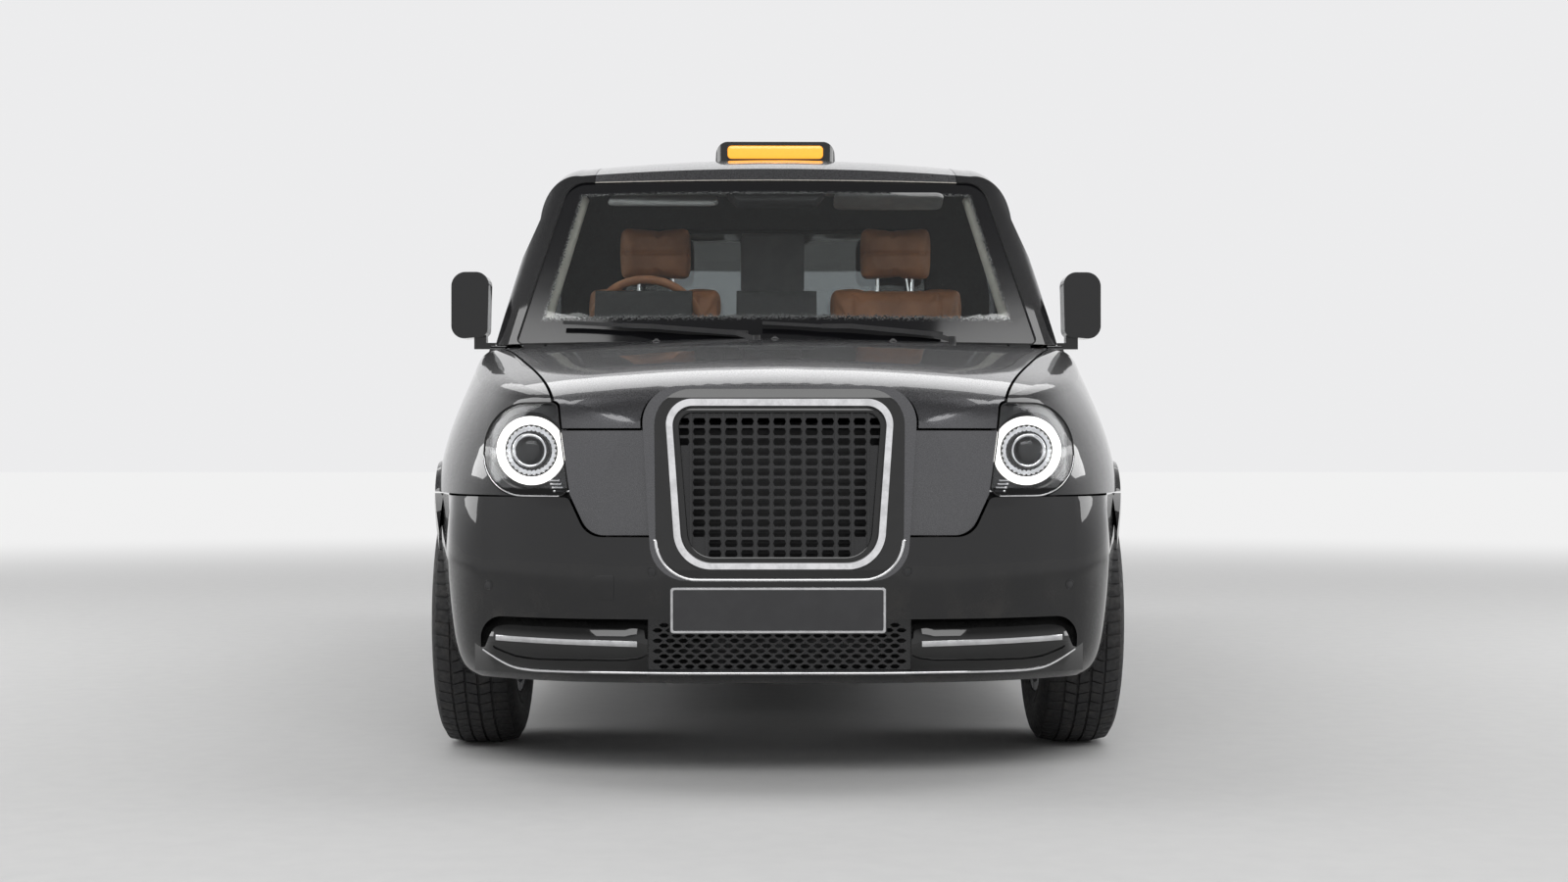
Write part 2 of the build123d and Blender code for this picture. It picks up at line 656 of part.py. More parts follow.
def side_frame():
    """The body side with its posts and sill, on the +X side."""
    outside = box((ROOF_SPLIT_X, 1000), (SCREEN_FOOT_Y - 20, TAIL_Y), (UNDER_Z - 5, ROOF_HEIGHT + 10))
    low, back = DOOR_FOOT_Z - SHUT_GAP, TAIL_Y + 50
    frame = cab_wall(0, BODY_WALL, outside, PILLAR_WALL)
    frame -= [
        box((500, 1000), (SCREEN_FOOT_Y - 40, REAR_DOOR_Y + HINGE_GAP), (UNDER_Z - 10, low)),
        box((500, 1000), (SCREEN_FOOT_Y - 40, FRONT_DOOR_Y), (UNDER_Z - 10, BELT_Z + SHUT_GAP - 2)),
        box((500, 792), (REAR_DOOR_Y, back), (UNDER_Z - 10, UNDER_Z + BODY_WALL + 1)),
        box((0, 1000), (REAR_BUMPER_Y, back), (0, CORNER_FOOT_Z)),
        front_door_block(SHUT_GAP),
        rear_door_block(SHUT_GAP),
        quarter_window(0),
        screen_block(0),
        tailgate_block(SHUT_GAP),
        tail_lamp_block(0.0),
    ]
    sill = cab_lower(0) & box((SILL_INNER_X, 1000), (FRONT_DOOR_Y - 6, REAR_DOOR_Y + 60), (UNDER_Z, low))
    posts = cab_lower(POST_START) - cab_lower(POST_END)
    a_zone = ((POST_INNER_X, 900), (FRONT_DOOR_Y - 45, FRONT_HINGE_Y + 75))
    a_post = posts & box(*a_zone, (UNDER_Z, BELT_Z))
    a_foot = (cab_upper(14) & box(*a_zone, (BELT_Z, BELT_Z + 34))) - front_door_block(SHUT_GAP)
    c_post = posts & box((POST_INNER_X, 900), (REAR_HINGE_Y - 60, REAR_DOOR_Y + 30), (UNDER_Z, BELT_Z))
    c_zone = box((POST_INNER_X, 1000), (REAR_DOOR_Y + HINGE_GAP, REAR_DOOR_Y + 36), (UNDER_Z, BELT_Z))
    c_face = cab_lower(0) & c_zone
    b_zone = box((600, 1000), (B_POST_Y - 55, B_POST_Y + 55), (DOOR_FOOT_Z - 20, B_POST_TOP_Z + 30))
    b_lower = (cab_lower(DOOR_WALL + SHUT_GAP) & b_zone) - cab_lower(BODY_WALL)
    b_upper = (cab_upper(DOOR_FRAME_WALL + SHUT_GAP) & b_zone) - cab_upper(PILLAR_WALL)
    b_step = ((BELT_X - DOOR_WALL - SHUT_GAP, 1000), (B_POST_Y - 60, B_POST_Y + 60))
    b_upper -= box(*b_step, (BELT_Z - 1, BELT_Z + SHUT_GAP))
    flare = arch_flare(REAR_AXLE_Y, cab_lower(WING_WALL))
    flare -= box((0, 1000), (REAR_BUMPER_Y, TAIL_Y), (0, CORNER_FOOT_Z))
    frame += [sill, a_post, a_foot, c_post, c_face, b_lower, b_upper, flare]
    return frame - [
        arch_cut(REAR_AXLE_Y, ARCH_RADIUS, REAR_HOUSING_X, 1000),
        arch_cut(REAR_AXLE_Y, LINER_RADIUS + SEAT_FIT, REAR_HOUSING_X, 1000) & cab_lower(WING_WALL),
    ]


def roof_panel():
    """The roof between its two side rails, with the headers over the windscreen and tailgate."""
    split = ROOF_SPLIT_X - PANEL_GAP / 2
    region = box((-split, split), (SCREEN_FOOT_Y, TAIL_Y), (SCREEN_HEAD_Z - 60, ROOF_HEIGHT + 10))
    roof = (cab_upper(0) & region) - cab_upper(ROOF_WALL)
    roof -= screen_block(0) + tailgate_block(SHUT_GAP)
    x, y, z = TAIL_HINGE_X, TAIL_HINGE_Y, TAIL_HINGE_Z
    for side in (-1, 1):
        roof -= on_side(tail_hinge_room(x - 41, x), side)
        roof += on_side(tail_knuckle(x, x + 39, z + 16), side)
        roof -= on_side(rod((x - 5, y, z), (x + 60, y, z), TAIL_PIN_RADIUS + PIN_FIT), side)
    return roof


def windscreen():
    return (cab_upper(GLASS_INSET) & screen_block(-SEAT_FIT)) - cab_upper(GLASS_INSET + GLASS_WALL)


def tail_knuckle(x0, x1, leaf_z):
    """One half of a tailgate hinge: a barrel along the car's width and the leaf that holds it."""
    y, z = TAIL_HINGE_Y, TAIL_HINGE_Z
    return rod((x0, y, z), (x1, y, z), TAIL_EYE_RADIUS) + box((x0, x1), (y - 32, y), sorted((z, leaf_z)))


def tail_hinge_room(x0, x1):
    """What is cut away round the other half's barrel."""
    y, z = TAIL_HINGE_Y, TAIL_HINGE_Z
    return rod((x0, y, z), (x1, y, z), TAIL_EYE_RADIUS + 3)


def tailgate():
    """The tailgate with its window cut."""
    region = tailgate_block(0)
    gate = cab_wall(0, TAILGATE_WALL, region) - tail_window(0)
    x, y, z = TAIL_HINGE_X, TAIL_HINGE_Y, TAIL_HINGE_Z
    for side in (-1, 1):
        gate -= on_side(tail_hinge_room(x - 1, x + 41), side)
        gate += on_side(tail_knuckle(x - 40, x - 1, z - 14), side)
        gate += on_side(rod((x - 20, y, z), (x + 40, y, z), TAIL_PIN_RADIUS), side)
    return gate


def tailgate_glass():
    return (cab_upper(GLASS_INSET) & tail_window(-SEAT_FIT)) - cab_upper(GLASS_INSET + GLASS_WALL)


# Nose, bonnet and wings


def bonnet_block(gap):
    """What the bonnet covers, seen from above, drawn in by a gap."""
    rear_x, nose_x = BONNET_REAR_X - gap, BONNET_NOSE_X - gap
    rear_y, front_y = BONNET_REAR_Y - gap, NOSE_Y - 50
    corners = [(-rear_x, rear_y), (-nose_x, BONNET_NOSE_Y), (-nose_x, front_y)]
    corners += [(-x, y) for x, y in reversed(corners)]
    rear = ThreePointArc(corners[-1], (0, rear_y - BONNET_REAR_SAG), corners[0])
    face = make_face(rear + Polyline(*corners))
    return Pos(0, 0, BONNET_FRONT_Z) * extrude(face, 400, dir=(0, 0, 1))


def headlight_block(grow):
    """The headlight's outline on the +X side, seen from the front."""
    top, foot, outer = 922.0 + grow, 695.0 - grow, 735.0 + grow
    points = [(545.0 - grow, top), (outer, top), (outer, foot), (511.0 - grow, foot)]
    return front_prism(points, [18, 108, 108, 24], NOSE_Y - 20, NOSE_Y + 330)


def grille_outline(half_top, half_foot, foot, top, top_radius, foot_radius):
    """A grille shape on its own leaning plane, measured up from its foot."""
    points = [(-half_foot, foot), (half_foot, foot), (half_top, top), (-half_top, top)]
    return GRILLE_PLANE * make_face(
        FilletPolyline(*points, radius=[foot_radius, foot_radius, top_radius, top_radius], close=True)
    )


def grille_block(grow, depth):
    """What the grille's surround covers, to a depth behind its face."""
    height = GRILLE_TOP_Z - GRILLE_FOOT_Z
    half, radius = GRILLE_HALF + grow, 90 + grow
    face = grille_outline(half, half - 30, -grow, height + grow, radius, radius)
    return extrude(face, -depth) + extrude(face, 30)


def wing_block(edge):
    """What the wing covers, seen from above, on the +X side, with a gap beside the bonnet."""
    points = [
        (BONNET_NOSE_X + edge, NOSE_Y - 60),
        (BONNET_NOSE_X + edge, BONNET_NOSE_Y),
        (BONNET_REAR_X + edge, BONNET_REAR_Y),
        (BONNET_REAR_X + edge, FRONT_DOOR_Y - HINGE_GAP),
        (1100, FRONT_DOOR_Y - HINGE_GAP),
        (1100, NOSE_Y - 60),
    ]
    return plan_prism(points, [0] * 6, SILL_Z - 10, 1300)


def front_flare():
    """The lip round a front wheel arch, on the wing and on the bumper, on the +X side."""
    return arch_flare(FRONT_AXLE_Y, front_form(WING_WALL)) & front_form(-FLARE_OUT)


def wing():
    """A front wing with its arch, on the +X side."""
    panel = (front_form(0) & wing_block(BONNET_SIDE_GAP)) - front_form(WING_WALL)
    panel -= box((0, 1100), (NOSE_Y - 60, FRONT_AXLE_Y - 100), (0, BUMPER_TOP_Z + PANEL_GAP))
    panel -= [arch_cut(FRONT_AXLE_Y, ARCH_RADIUS, 400, 1100), headlight_block(3), cab_upper(-4)]
    flare_zone = box((800, 1000), (FRONT_AXLE_Y - 600, FRONT_DOOR_Y - HINGE_GAP), (SILL_Z, 900))
    flare_zone -= box((800, 1000), (NOSE_Y, FRONT_AXLE_Y - 100), (0, BUMPER_TOP_Z + PANEL_GAP))
    return panel + (front_flare() & flare_zone)


def bonnet():
    """The bonnet with its hinge arms."""
    panel = (front_form(0) & bonnet_block(0)) - front_form(BONNET_WALL)
    panel -= grille_block(SHUT_GAP, 120)
    for side in (-1, 1):
        panel -= on_side(headlight_block(SHUT_GAP), side)
        x, y, z = BONNET_HINGE_X, BONNET_HINGE_Y, BONNET_HINGE_Z
        for x0, x1 in ((x - 22, x - 9), (x + 9, x + 22)):
            eye = rod((x0, y, z), (x1, y, z), BONNET_EYE_RADIUS)
            panel += on_side(eye + box((x0, x1), (y - 34, y), (z - 6, z + 2)), side)
        panel += on_side(rod((x - 12, y, z), (x + 12, y, z), BONNET_PIN_RADIUS), side)
    return panel


def nose_panels():
    """The panels between the grille and the headlights."""
    foot, top = SHELF_Z + PANEL_GAP, BONNET_FRONT_Z - SHUT_GAP
    points = [(200, foot), (200, top), (532, top), (509, 700), (462, foot)]
    zone = front_prism(points, [0, 0, 0, 20, 60], NOSE_Y - 20, NOSE_Y + 300)
    panel = (front_form(0) & zone) - front_form(NOSE_WALL)
    return both(panel - [headlight_block(3), grille_block(SEAT_FIT, 120)])


def cowl():
    """The panel between the bonnet and the windscreen."""
    zone = box((-808, 808), (BONNET_REAR_Y - 300, FRONT_DOOR_Y + 52), (1082, 1200))
    panel = (front_form(COWL_DROP) & zone) - [
        bonnet_block(0),
        Pos(0, BONNET_REAR_GAP, 0) * bonnet_block(0),
        wing_block(0),
        on_side(wing_block(0), -1),
        cab_upper(-2),
        box((-690, 690), (BULKHEAD_Y, 0), (1000, 1300)),
    ]
    for side in (-1, 1):
        panel -= Pos(side * DOOR_HINGE_X, FRONT_HINGE_Y, 1000) * Cylinder(130, 500)
        post_zone = box((POST_INNER_X - 10, 900), (FRONT_DOOR_Y - 48, FRONT_HINGE_Y + 78), (900, BELT_Z))
        panel -= on_side(cab_lower(POST_START - 2) & post_zone, side)
        x, y, z = BONNET_HINGE_X, BONNET_HINGE_Y, BONNET_HINGE_Z
        panel -= on_side(box((x - 26, x + 26), (y - 40, y + 11), (z - 12, z + 60)), side)
        eye = rod((x - 7, y, z), (x + 7, y, z), BONNET_EYE_RADIUS)
        eye += box((x - 7, x + 7), (y, y + 16), (z - 12, z))
        eye += box((x - 7, x + 7), (y - 6, y + 16), (1082, z - 9))
        panel += on_side(eye, side)
        panel -= on_side(rod((x - 9, y, z), (x + 9, y, z), BONNET_PIN_RADIUS + PIN_FIT), side)
    return panel


def headlight():
    """A headlight's housing with its bowl and projector, on the +X side."""
    housing = (front_form(GLASS_INSET + SEAT_FIT) & headlight_block(0)) - front_form(120)
    housing += (front_form(WING_WALL + SEAT_FIT) & headlight_block(14)) - front_form(WING_WALL + 12)
    bowl = rod((615, NOSE_Y - 50, 805), (615, NOSE_Y + 205, 805), 96)
    projector = rod((615, NOSE_Y + 172, 805), (615, NOSE_Y + 215, 805), 48)
    return housing - bowl + projector


def headlight_lens():
    return (front_form(1.5) & headlight_block(0)) - front_form(GLASS_INSET)


def front_bumper():
    """The front bumper with its shelf under the nose and its lower intake."""
    foot, top = UNDER_Z, BUMPER_TOP_Z
    right = [(0, foot), (1000, foot), (1000, top), (513, top), (466, SHELF_Z), (0, SHELF_Z)]
    zone = front_prism(right, [0, 0, 0, 18, 60, 0], NOSE_Y - 20, FRONT_AXLE_Y - 100)
    zone += mirror(zone, about=Plane.YZ)
    shelf_zone = box((-460, 460), (NOSE_Y - 20, NOSE_Y + 150), (SHELF_Z - BUMPER_WALL, SHELF_Z))
    bumper = (front_bumper_form(0) & zone) - [front_bumper_form(BUMPER_WALL), front_form(WING_WALL)]
    bumper += (front_bumper_form(BUMPER_WALL - 1) & shelf_zone) - front_form(-3)
    bumper -= [grille_block(SEAT_FIT, 110), intake_block(0)]
    flare_zone = box((800, 1000), (NOSE_Y, FRONT_AXLE_Y - 100), (UNDER_Z, BUMPER_TOP_Z))
    bumper += both(front_flare() & flare_zone)
    for side in (-1, 1):
        bumper -= on_side(arch_cut(FRONT_AXLE_Y, ARCH_RADIUS, 400, 1100), side)
        bumper -= on_side(headlight_block(3), side)
    return bumper


def intake_block(grow):
    """The lower intake's opening."""
    half, foot, top = 737.0 + grow, 268.0 - grow, 400.0 + grow
    points = [(-half, foot), (half, foot), (half, top), (-half, top)]
    return front_prism(points, [58] * 4, NOSE_Y - 20, NOSE_Y + 300)


def lower_grille():
    """The slatted grille behind the lower intake."""
    sheet = front_bumper_form(BUMPER_WALL + SEAT_FIT) & intake_block(16)
    sheet -= front_bumper_form(BUMPER_WALL + 9)
    slots = []
    for row in range(3):
        for column in range(-6, 6):
            x, z = 60 + column * 120, 298 + row * 36
            slots.append(box((x - 54, x + 54), (NOSE_Y - 20, NOSE_Y + 300), (z - 13, z + 13)))
    return sheet - Compound(children=slots)


def grille_surround():
    outline_hole = grille_outline(279, 249, 27, 439, 62, 92)
    hole = extrude(outline_hole, -200) + extrude(outline_hole, 60)
    room = box((-400, 400), (NOSE_Y - 30, NOSE_Y + 140), (480, 980))
    return (grille_block(0, 100) & room & grille_face_block()) - hole


def grille_face_block():
    """The space behind the grille's face."""
    return extrude(GRILLE_PLANE * Rectangle(1000, 1400), -300)


def grille_ring():
    outer = grille_outline(278.7, 248.7, 27.3, 438.7, 61.7, 91.7)
    inner = grille_outline(262, 233, 42, 422, 48, 78)
    return extrude(outer - inner, 8) + extrude(outer - inner, -34)


def grille_mesh():
    """The mesh: a hexagonal net with upright bars in front of it."""
    plate = grille_outline(261.7, 232.7, 42.3, 421.7, 47.7, 77.7)
    holes = []
    cell = [(-15.5, 0), (-12, 8.8), (12, 8.8), (15.5, 0), (12, -8.8), (-12, -8.8)]
    for column in range(HEX_COLUMNS):
        for row in range(HEX_ROWS):
            x = (column - (HEX_COLUMNS - 1) / 2) * HEX_PITCH_X
            z = 66 + row * HEX_PITCH_Z
            half = 233 + (262 - 233) * (z - 42) / 380
            corner = z < 110 and abs(x) > half - 70
            if abs(x) + 16 < half - 6 and z + 9 < 418 and not corner:
                corners = [GRILLE_PLANE.from_local_coords((x + u, z + v, 0)) for u, v in cell]
                holes.append(Wire.make_polygon(corners))
    net = Face(plate.face().outer_wire(), holes)
    mesh = Solid.extrude(net, GRILLE_PLANE.z_dir * -6).moved(Location(GRILLE_PLANE.z_dir * -16))
    room = extrude(plate, -16)
    for i in range(HEX_COLUMNS - 1):
        x = (i - (HEX_COLUMNS - 2) / 2) * HEX_PITCH_X
        bar = extrude(GRILLE_PLANE.offset(-17) * Pos(x, 232) * Rectangle(5, 372), 10)
        mesh += bar & room
    return mesh


# Floor, engine and battery

def floor_pan():
    """The floor, the step under the rear seat and the bulkhead."""
    t = FLOOR_WALL
    step_y = REAR_DOOR_Y + 40
    wall_y, back_y, top = BULKHEAD_Y, BODY_TAIL_Y - 70, BULKHEAD_TOP_Z
    points = [
        (wall_y, FLOOR_Z - t), (wall_y, top), (wall_y + t, top), (wall_y + t, FLOOR_Z),
        (step_y, FLOOR_Z), (step_y, REAR_DECK_Z), (back_y, REAR_DECK_Z),
        (back_y, REAR_DECK_Z - t), (step_y + t, REAR_DECK_Z - t), (step_y + t, FLOOR_Z - t),
    ]
    sheet = side_prism(points, [0] * 10, -900, 900) & cab_lower(BODY_WALL + SEAT_FIT)
    post_x, start = (POST_INNER_X - SEAT_FIT, 900), BULKHEAD_Y - 10
    rooms = [
        cab_lower(POST_START - SEAT_FIT) & box(post_x, (start, FRONT_HINGE_Y + 76), (0, BELT_Z)),
        box(post_x, (REAR_HINGE_Y - 61, REAR_DOOR_Y + 37), (0, BELT_Z)),
        box((SILL_INNER_X - SEAT_FIT, 900), (start, REAR_DOOR_Y + 61), (0, DOOR_FOOT_Z)),
        arch_cut(REAR_AXLE_Y, LINER_RADIUS + SEAT_FIT, REAR_HOUSING_X - SEAT_FIT, 1000),
    ]
    for side in (-1, 1):
        sheet -= [on_side(room, side) for room in rooms]
    return sheet


def battery_pack():
    return box((-560, 560), (FRONT_DOOR_Y + 200, REAR_DOOR_Y - 90), (UNDER_Z + 5, FLOOR_Z - FLOOR_WALL))


def engine_block():
    return box((-330, 330), (FRONT_AXLE_Y - 230, FRONT_AXLE_Y + 240), (FRONT_BEAM_TOP, 880))


def front_rails():
    """The two rails from the bulkhead to the bumper, on the towers of the front beam."""
    foot = UPPER_ARM_Z[1] + TOWER_RISE + SEAT_FIT
    can_y = NOSE_Y + 180
    rail = box((RAIL_INNER_X, RAIL_OUTER_X), (can_y, BULKHEAD_Y - SEAT_FIT), (foot, foot + RAIL_HEIGHT))
    can_top = SHELF_Z - BUMPER_WALL - PANEL_GAP
    can = box((RAIL_INNER_X, RAIL_CAN_OUTER_X), (NOSE_Y, can_y + 1), (foot, can_top))
    return both(rail + (can & front_bumper_form(BUMPER_WALL + SEAT_FIT)))


def arch_liner(axle_y, inner_x, form):
    """The lining of a wheel arch, on the +X side."""
    inside = arch_cut(axle_y, ARCH_RADIUS, inner_x + LINER_WALL, 1000)
    liner = arch_cut(axle_y, LINER_RADIUS, inner_x, 1000) - inside
    liner &= form & box((inner_x, 1000), (axle_y - 500, axle_y + 500), (345, 900))
    return liner - box((inner_x - 5, inner_x + 20), (axle_y - 175, axle_y + 175), (300, 560))


# Suspension and wheels


def front_beam():
    """The front cross-beam with the arms that carry the knuckles."""
    y, foot, top = FRONT_AXLE_Y, LOWER_ARM_Z[0], UPPER_ARM_Z[1] + TOWER_RISE
    beam = box((-430, 430), (y - 70, y + 70), (foot, FRONT_BEAM_TOP))
    # Columns: half the arm's length at the beam, how far it runs past the kingpin, its heights
    arms = [
        (138, 24, LOWER_ARM_Z),
        (80, 20, UPPER_ARM_Z),
    ]
    # Columns: foot and head of a kingpin's end
    pins = [
        (LOWER_ARM_Z[1] - 2, KNUCKLE_Z[0] + 26),
        (UPPER_ARM_Z[0] + 2, KNUCKLE_Z[1] - 26),
    ]
    for side in (-1, 1):
        corner = box((385, 430), (y - 45, y + 45), (foot, top))
        for half, past, heights in arms:
            tip = KINGPIN_X + past
            points = [(400, y - half), (400, y + half), (tip, y + past), (tip, y - past)]
            corner += plan_prism(points, [10, 10, 18, 18], *heights)
        for z0, z1 in pins:
            corner += rod((KINGPIN_X, y, z0), (KINGPIN_X, y, z1), KINGPIN_RADIUS)
        beam += on_side(corner, side)
    return beam


def knuckle():
    """A steering knuckle with its stub axle, on the +X side."""
    foot, top = KNUCKLE_Z
    x, y = KINGPIN_X, FRONT_AXLE_Y
    body = rod((x, y, foot), (x, y, top), 24)
    body += rod((x, y, TYRE_RADIUS), (WHEEL_X + STUB_REACH, y, TYRE_RADIUS), STUB_RADIUS)
    body += rod((x, y, TYRE_RADIUS), (x + 31, y, TYRE_RADIUS), 44)
    for z0, z1 in ((foot - 1, foot + 28), (top - 28, top + 1)):
        body -= rod((x, y, z0), (x, y, z1), KINGPIN_RADIUS + PIN_FIT)
    return body


def rear_axle():
    """The rear stub axles with their tubes and trailing arms."""
    y, z = REAR_AXLE_Y, TYRE_RADIUS
    tube = rod((DRIVE_UNIT_X, y, z), (WHEEL_X - 110, y, z), 38)
    tube += rod((WHEEL_X - 120, y, z), (KINGPIN_X + 31, y, z), 44)
    tube += rod((KINGPIN_X, y, z), (WHEEL_X + STUB_REACH, y, z), STUB_RADIUS)
    arm = [(y - 430, 285), (y - 430, 325), (y + 50, 400), (y + 50, 310)]
    tube += side_prism(arm, [10, 10, 20, 20], 470, 520)
    return both(tube)


def drive_unit():
    length = (REAR_AXLE_Y - 190, REAR_AXLE_Y + 170)
    return box((-DRIVE_UNIT_X, DRIVE_UNIT_X), length, (UNDER_Z + 5, REAR_DECK_Z - FLOOR_WALL))


def wheel_rim():
    """An alloy rim about the X axis, outboard face towards +X, centred on the wheel's middle."""
    half, r = RIM_WIDTH / 2, RIM_RADIUS
    section = [
        (-half, r - 22), (-half, r), (-half + 12, r), (-half + 16, r - 12), (half - 16, r - 12),
        (half - 12, r), (half, r), (half, r - 14), (half - 10, r - 22), (-half + 20, r - 22),
    ]
    barrel = revolve(make_face(Plane.XY * Polyline(*section, close=True)), Axis.X, 360)
    hub = rod((-25, 0, 0), (44, 0, 0), 62) - rod((-80, 0, 0), (80, 0, 0), STUB_RADIUS + PIN_FIT)
    spokes = []
    for i in range(SPOKES):
        blade = Pos(0, 0, 40) * box((30, 52), (-11, 11), (0, r - 22 - 36))
        spokes.append(Rot(i * 360 / SPOKES, 0, 0) * blade)
    rim = barrel + hub
    for spoke in spokes:
        rim += spoke
    return rim - rod((-80, 0, 0), (43, 0, 0), STUB_RADIUS + PIN_FIT)


def tyre():
    """A tyre about the X axis, centred on the wheel's middle."""
    half, rim_half, r = TYRE_WIDTH / 2, RIM_WIDTH / 2, TYRE_RADIUS
    seat = RIM_RADIUS + SEAT_FIT
    wall = (seat + r) / 2 - 6
    side = [(rim_half, seat), (half, wall), (half - 17, r)]
    profile = FilletPolyline(
        *[(-x, z) for x, z in side], *reversed(side), radius=[2, 40, 40, 40, 40, 2], close=True
    )
    return revolve(make_face(Plane.XY * profile), Axis.X, 360)


# Cabin

def trim_inside(shape, gap=0.0):
    """What of a shape lies inside the cab's walls."""
    lower = shape & cab_lower(POST_END + 1 + gap)
    upper = shape & cab_upper(PILLAR_WALL + 2 + gap)
    return lower + upper


def dashboard():
    """The dashboard with its two hoods."""
    back = BULKHEAD_Y + FLOOR_WALL + SEAT_FIT
    outside = [(0, 640), (0, 1119), (170, 1190), (330, 1200), (420, 1150), (400, 880), (280, 640)]
    inside = [(-5, 600), (-5, 1080), (330, 1120), (330, 900), (220, 600)]
    hood = [(230, 1150), (300, 1300), (400, 1305), (380, 1150)]

    def section(points):
        return [(back + y, z) for y, z in points]

    body = side_prism(section(outside), [5, 30, 40, 60, 50, 60, 40], -DASH_HALF, DASH_HALF)
    for x, half in ((DRIVER_X, 150), (0, 125)):
        body += side_prism(section(hood), [10, 40, 20, 10], x - half, x + half)
    lower = body & box((-DASH_HALF, DASH_HALF), (BULKHEAD_Y, 0), (500, BELT_Z))
    hollow = side_prism(section(inside), [0, 20, 40, 60, 0], -DASH_HALF + 38, DASH_HALF - 38)
    return (body & cab_upper(PILLAR_WALL + 4)) + lower - hollow


def column_place():
    """The steering wheel's place, with its axis along the column."""
    tilt = math.radians(COLUMN_TILT)
    axis = (0, math.cos(tilt), math.sin(tilt))
    return Plane(origin=WHEEL_CENTRE, x_dir=(1, 0, 0), z_dir=axis).location


def steering_wheel():
    """The steering wheel, about the column's axis."""
    ring = Torus(178, 14) + Cylinder(52, 34)
    for angle in (0, 90, 180):
        ring += Rot(0, 0, angle) * Pos(110, 0, 0) * Box(130, 26, 14)
    ring -= Pos(0, 0, -10) * Cylinder(COLUMN_RADIUS + PIN_FIT, 40)
    return column_place() * ring


def steering_column():
    """The column from the dashboard to the wheel."""
    shaft, sleeve = Cylinder(COLUMN_RADIUS, 76), Cylinder(34, 120)
    return column_place() * (Pos(0, 0, -46) * shaft + Pos(0, 0, -90) * sleeve)


def front_seat(x):
    """A front seat with its plinth and headrest."""
    base = box((x - 190, x + 190), (B_POST_Y - 500, B_POST_Y - 110), (FLOOR_Z, 640))
    cushion = [(-570, 640), (-570, 760), (-120, 750), (-120, 640)]
    back = [(-190, 700), (-130, 1390), (-35, 1390), (-90, 700)]
    head = [(-120, 1380), (-125, 1580), (-40, 1580), (-45, 1380)]
    # Columns: the section's points behind the door's rear edge, its radii, half its width
    pads = [
        (cushion, [30, 50, 40, 20], 250),
        (back, [30, 45, 45, 30], 240),
        (head, [5, 40, 40, 5], 130),
    ]
    seat = base
    for points, radii, half in pads:
        seat += side_prism([(B_POST_Y + y, z) for y, z in points], radii, x - half, x + half)
    return seat


def rear_seat():
    """The bench at the back."""
    y, deck = REAR_AXLE_Y, REAR_DECK_Z
    cushion = [(y - 260, deck), (y - 280, 800), (y + 230, 780), (y + 230, deck)]
    back = [(y + 180, 740), (y + 270, 1400), (y + 370, 1400), (y + 330, deck), (y + 200, deck)]
    seat = side_prism(cushion, [10, 60, 20, 10], -BENCH_HALF, BENCH_HALF)
    return seat + side_prism(back, [30, 50, 40, 10, 10], -BENCH_HALF, BENCH_HALF)


def hatch(shrink, y0, y1):
    """The window in the partition, drawn in by a gap."""
    foot, top = 1150 + shrink, 1580 - shrink
    right = [(560 - shrink, foot), (530 - shrink, top)]
    points = right + [(-x, z) for x, z in reversed(right)]
    return front_prism(points, [40] * 4, PARTITION_Y + y0, PARTITION_Y + y1)


def partition():
    """The wall between the driver and the passengers, with its window cut."""
    depth = (PARTITION_Y, PARTITION_Y + PARTITION_WALL)
    wall = trim_inside(box((-760, 760), depth, (FLOOR_Z, 1700)), 4)
    wall += box((-700, 700), depth, (FLOOR_Z, FLOOR_Z + 60))
    return wall - hatch(0, -20, 60)


def partition_glass():
    return hatch(SEAT_FIT, 9, 15)


# Roof sign, mirrors, lamps and rear bumper


def taxi_sign():
    """The roof sign's housing."""
    foot, top = ROOF_HEIGHT - 62, ROOF_HEIGHT + SIGN_TOP
    front = [(-SIGN_HALF, foot), (SIGN_HALF, foot), (SIGN_HALF - 6, top), (-SIGN_HALF + 6, top)]
    back = SIGN_Y + SIGN_DEPTH
    plan = [(-SIGN_HALF, SIGN_Y), (SIGN_HALF, SIGN_Y), (SIGN_HALF, back), (-SIGN_HALF, back)]
    block = front_prism(front, [0, 0, SIGN_CORNER, SIGN_CORNER], SIGN_Y, back)
    return (block & plan_prism(plan, [SIGN_CORNER] * 4, foot, top)) - cab_upper(-SEAT_FIT)


def mirror_head():
    """A door mirror with its arm, on the +X side."""
    y = FRONT_DOOR_Y + 320
    outside = [(905, 1160), (1018, 1150), (1018, 1362), (900, 1362)]
    inside = [(917, 1172), (1006, 1164), (1006, 1350), (912, 1350)]
    mirror_shell = front_prism(outside, [25, 40, 45, 40], y - 50, y + 40)
    mirror_shell -= front_prism(inside, [18, 30, 34, 28], y + 34, y + 60)
    arm = box((830, 950), (y - 22, y + 22), (BELT_Z + 1, BELT_Z + 21))
    arm += box((912, 950), (y - 22, y + 22), (BELT_Z + 1, 1170))
    return mirror_shell + (arm - cab_upper(-SEAT_FIT) - cab_lower(-SEAT_FIT))


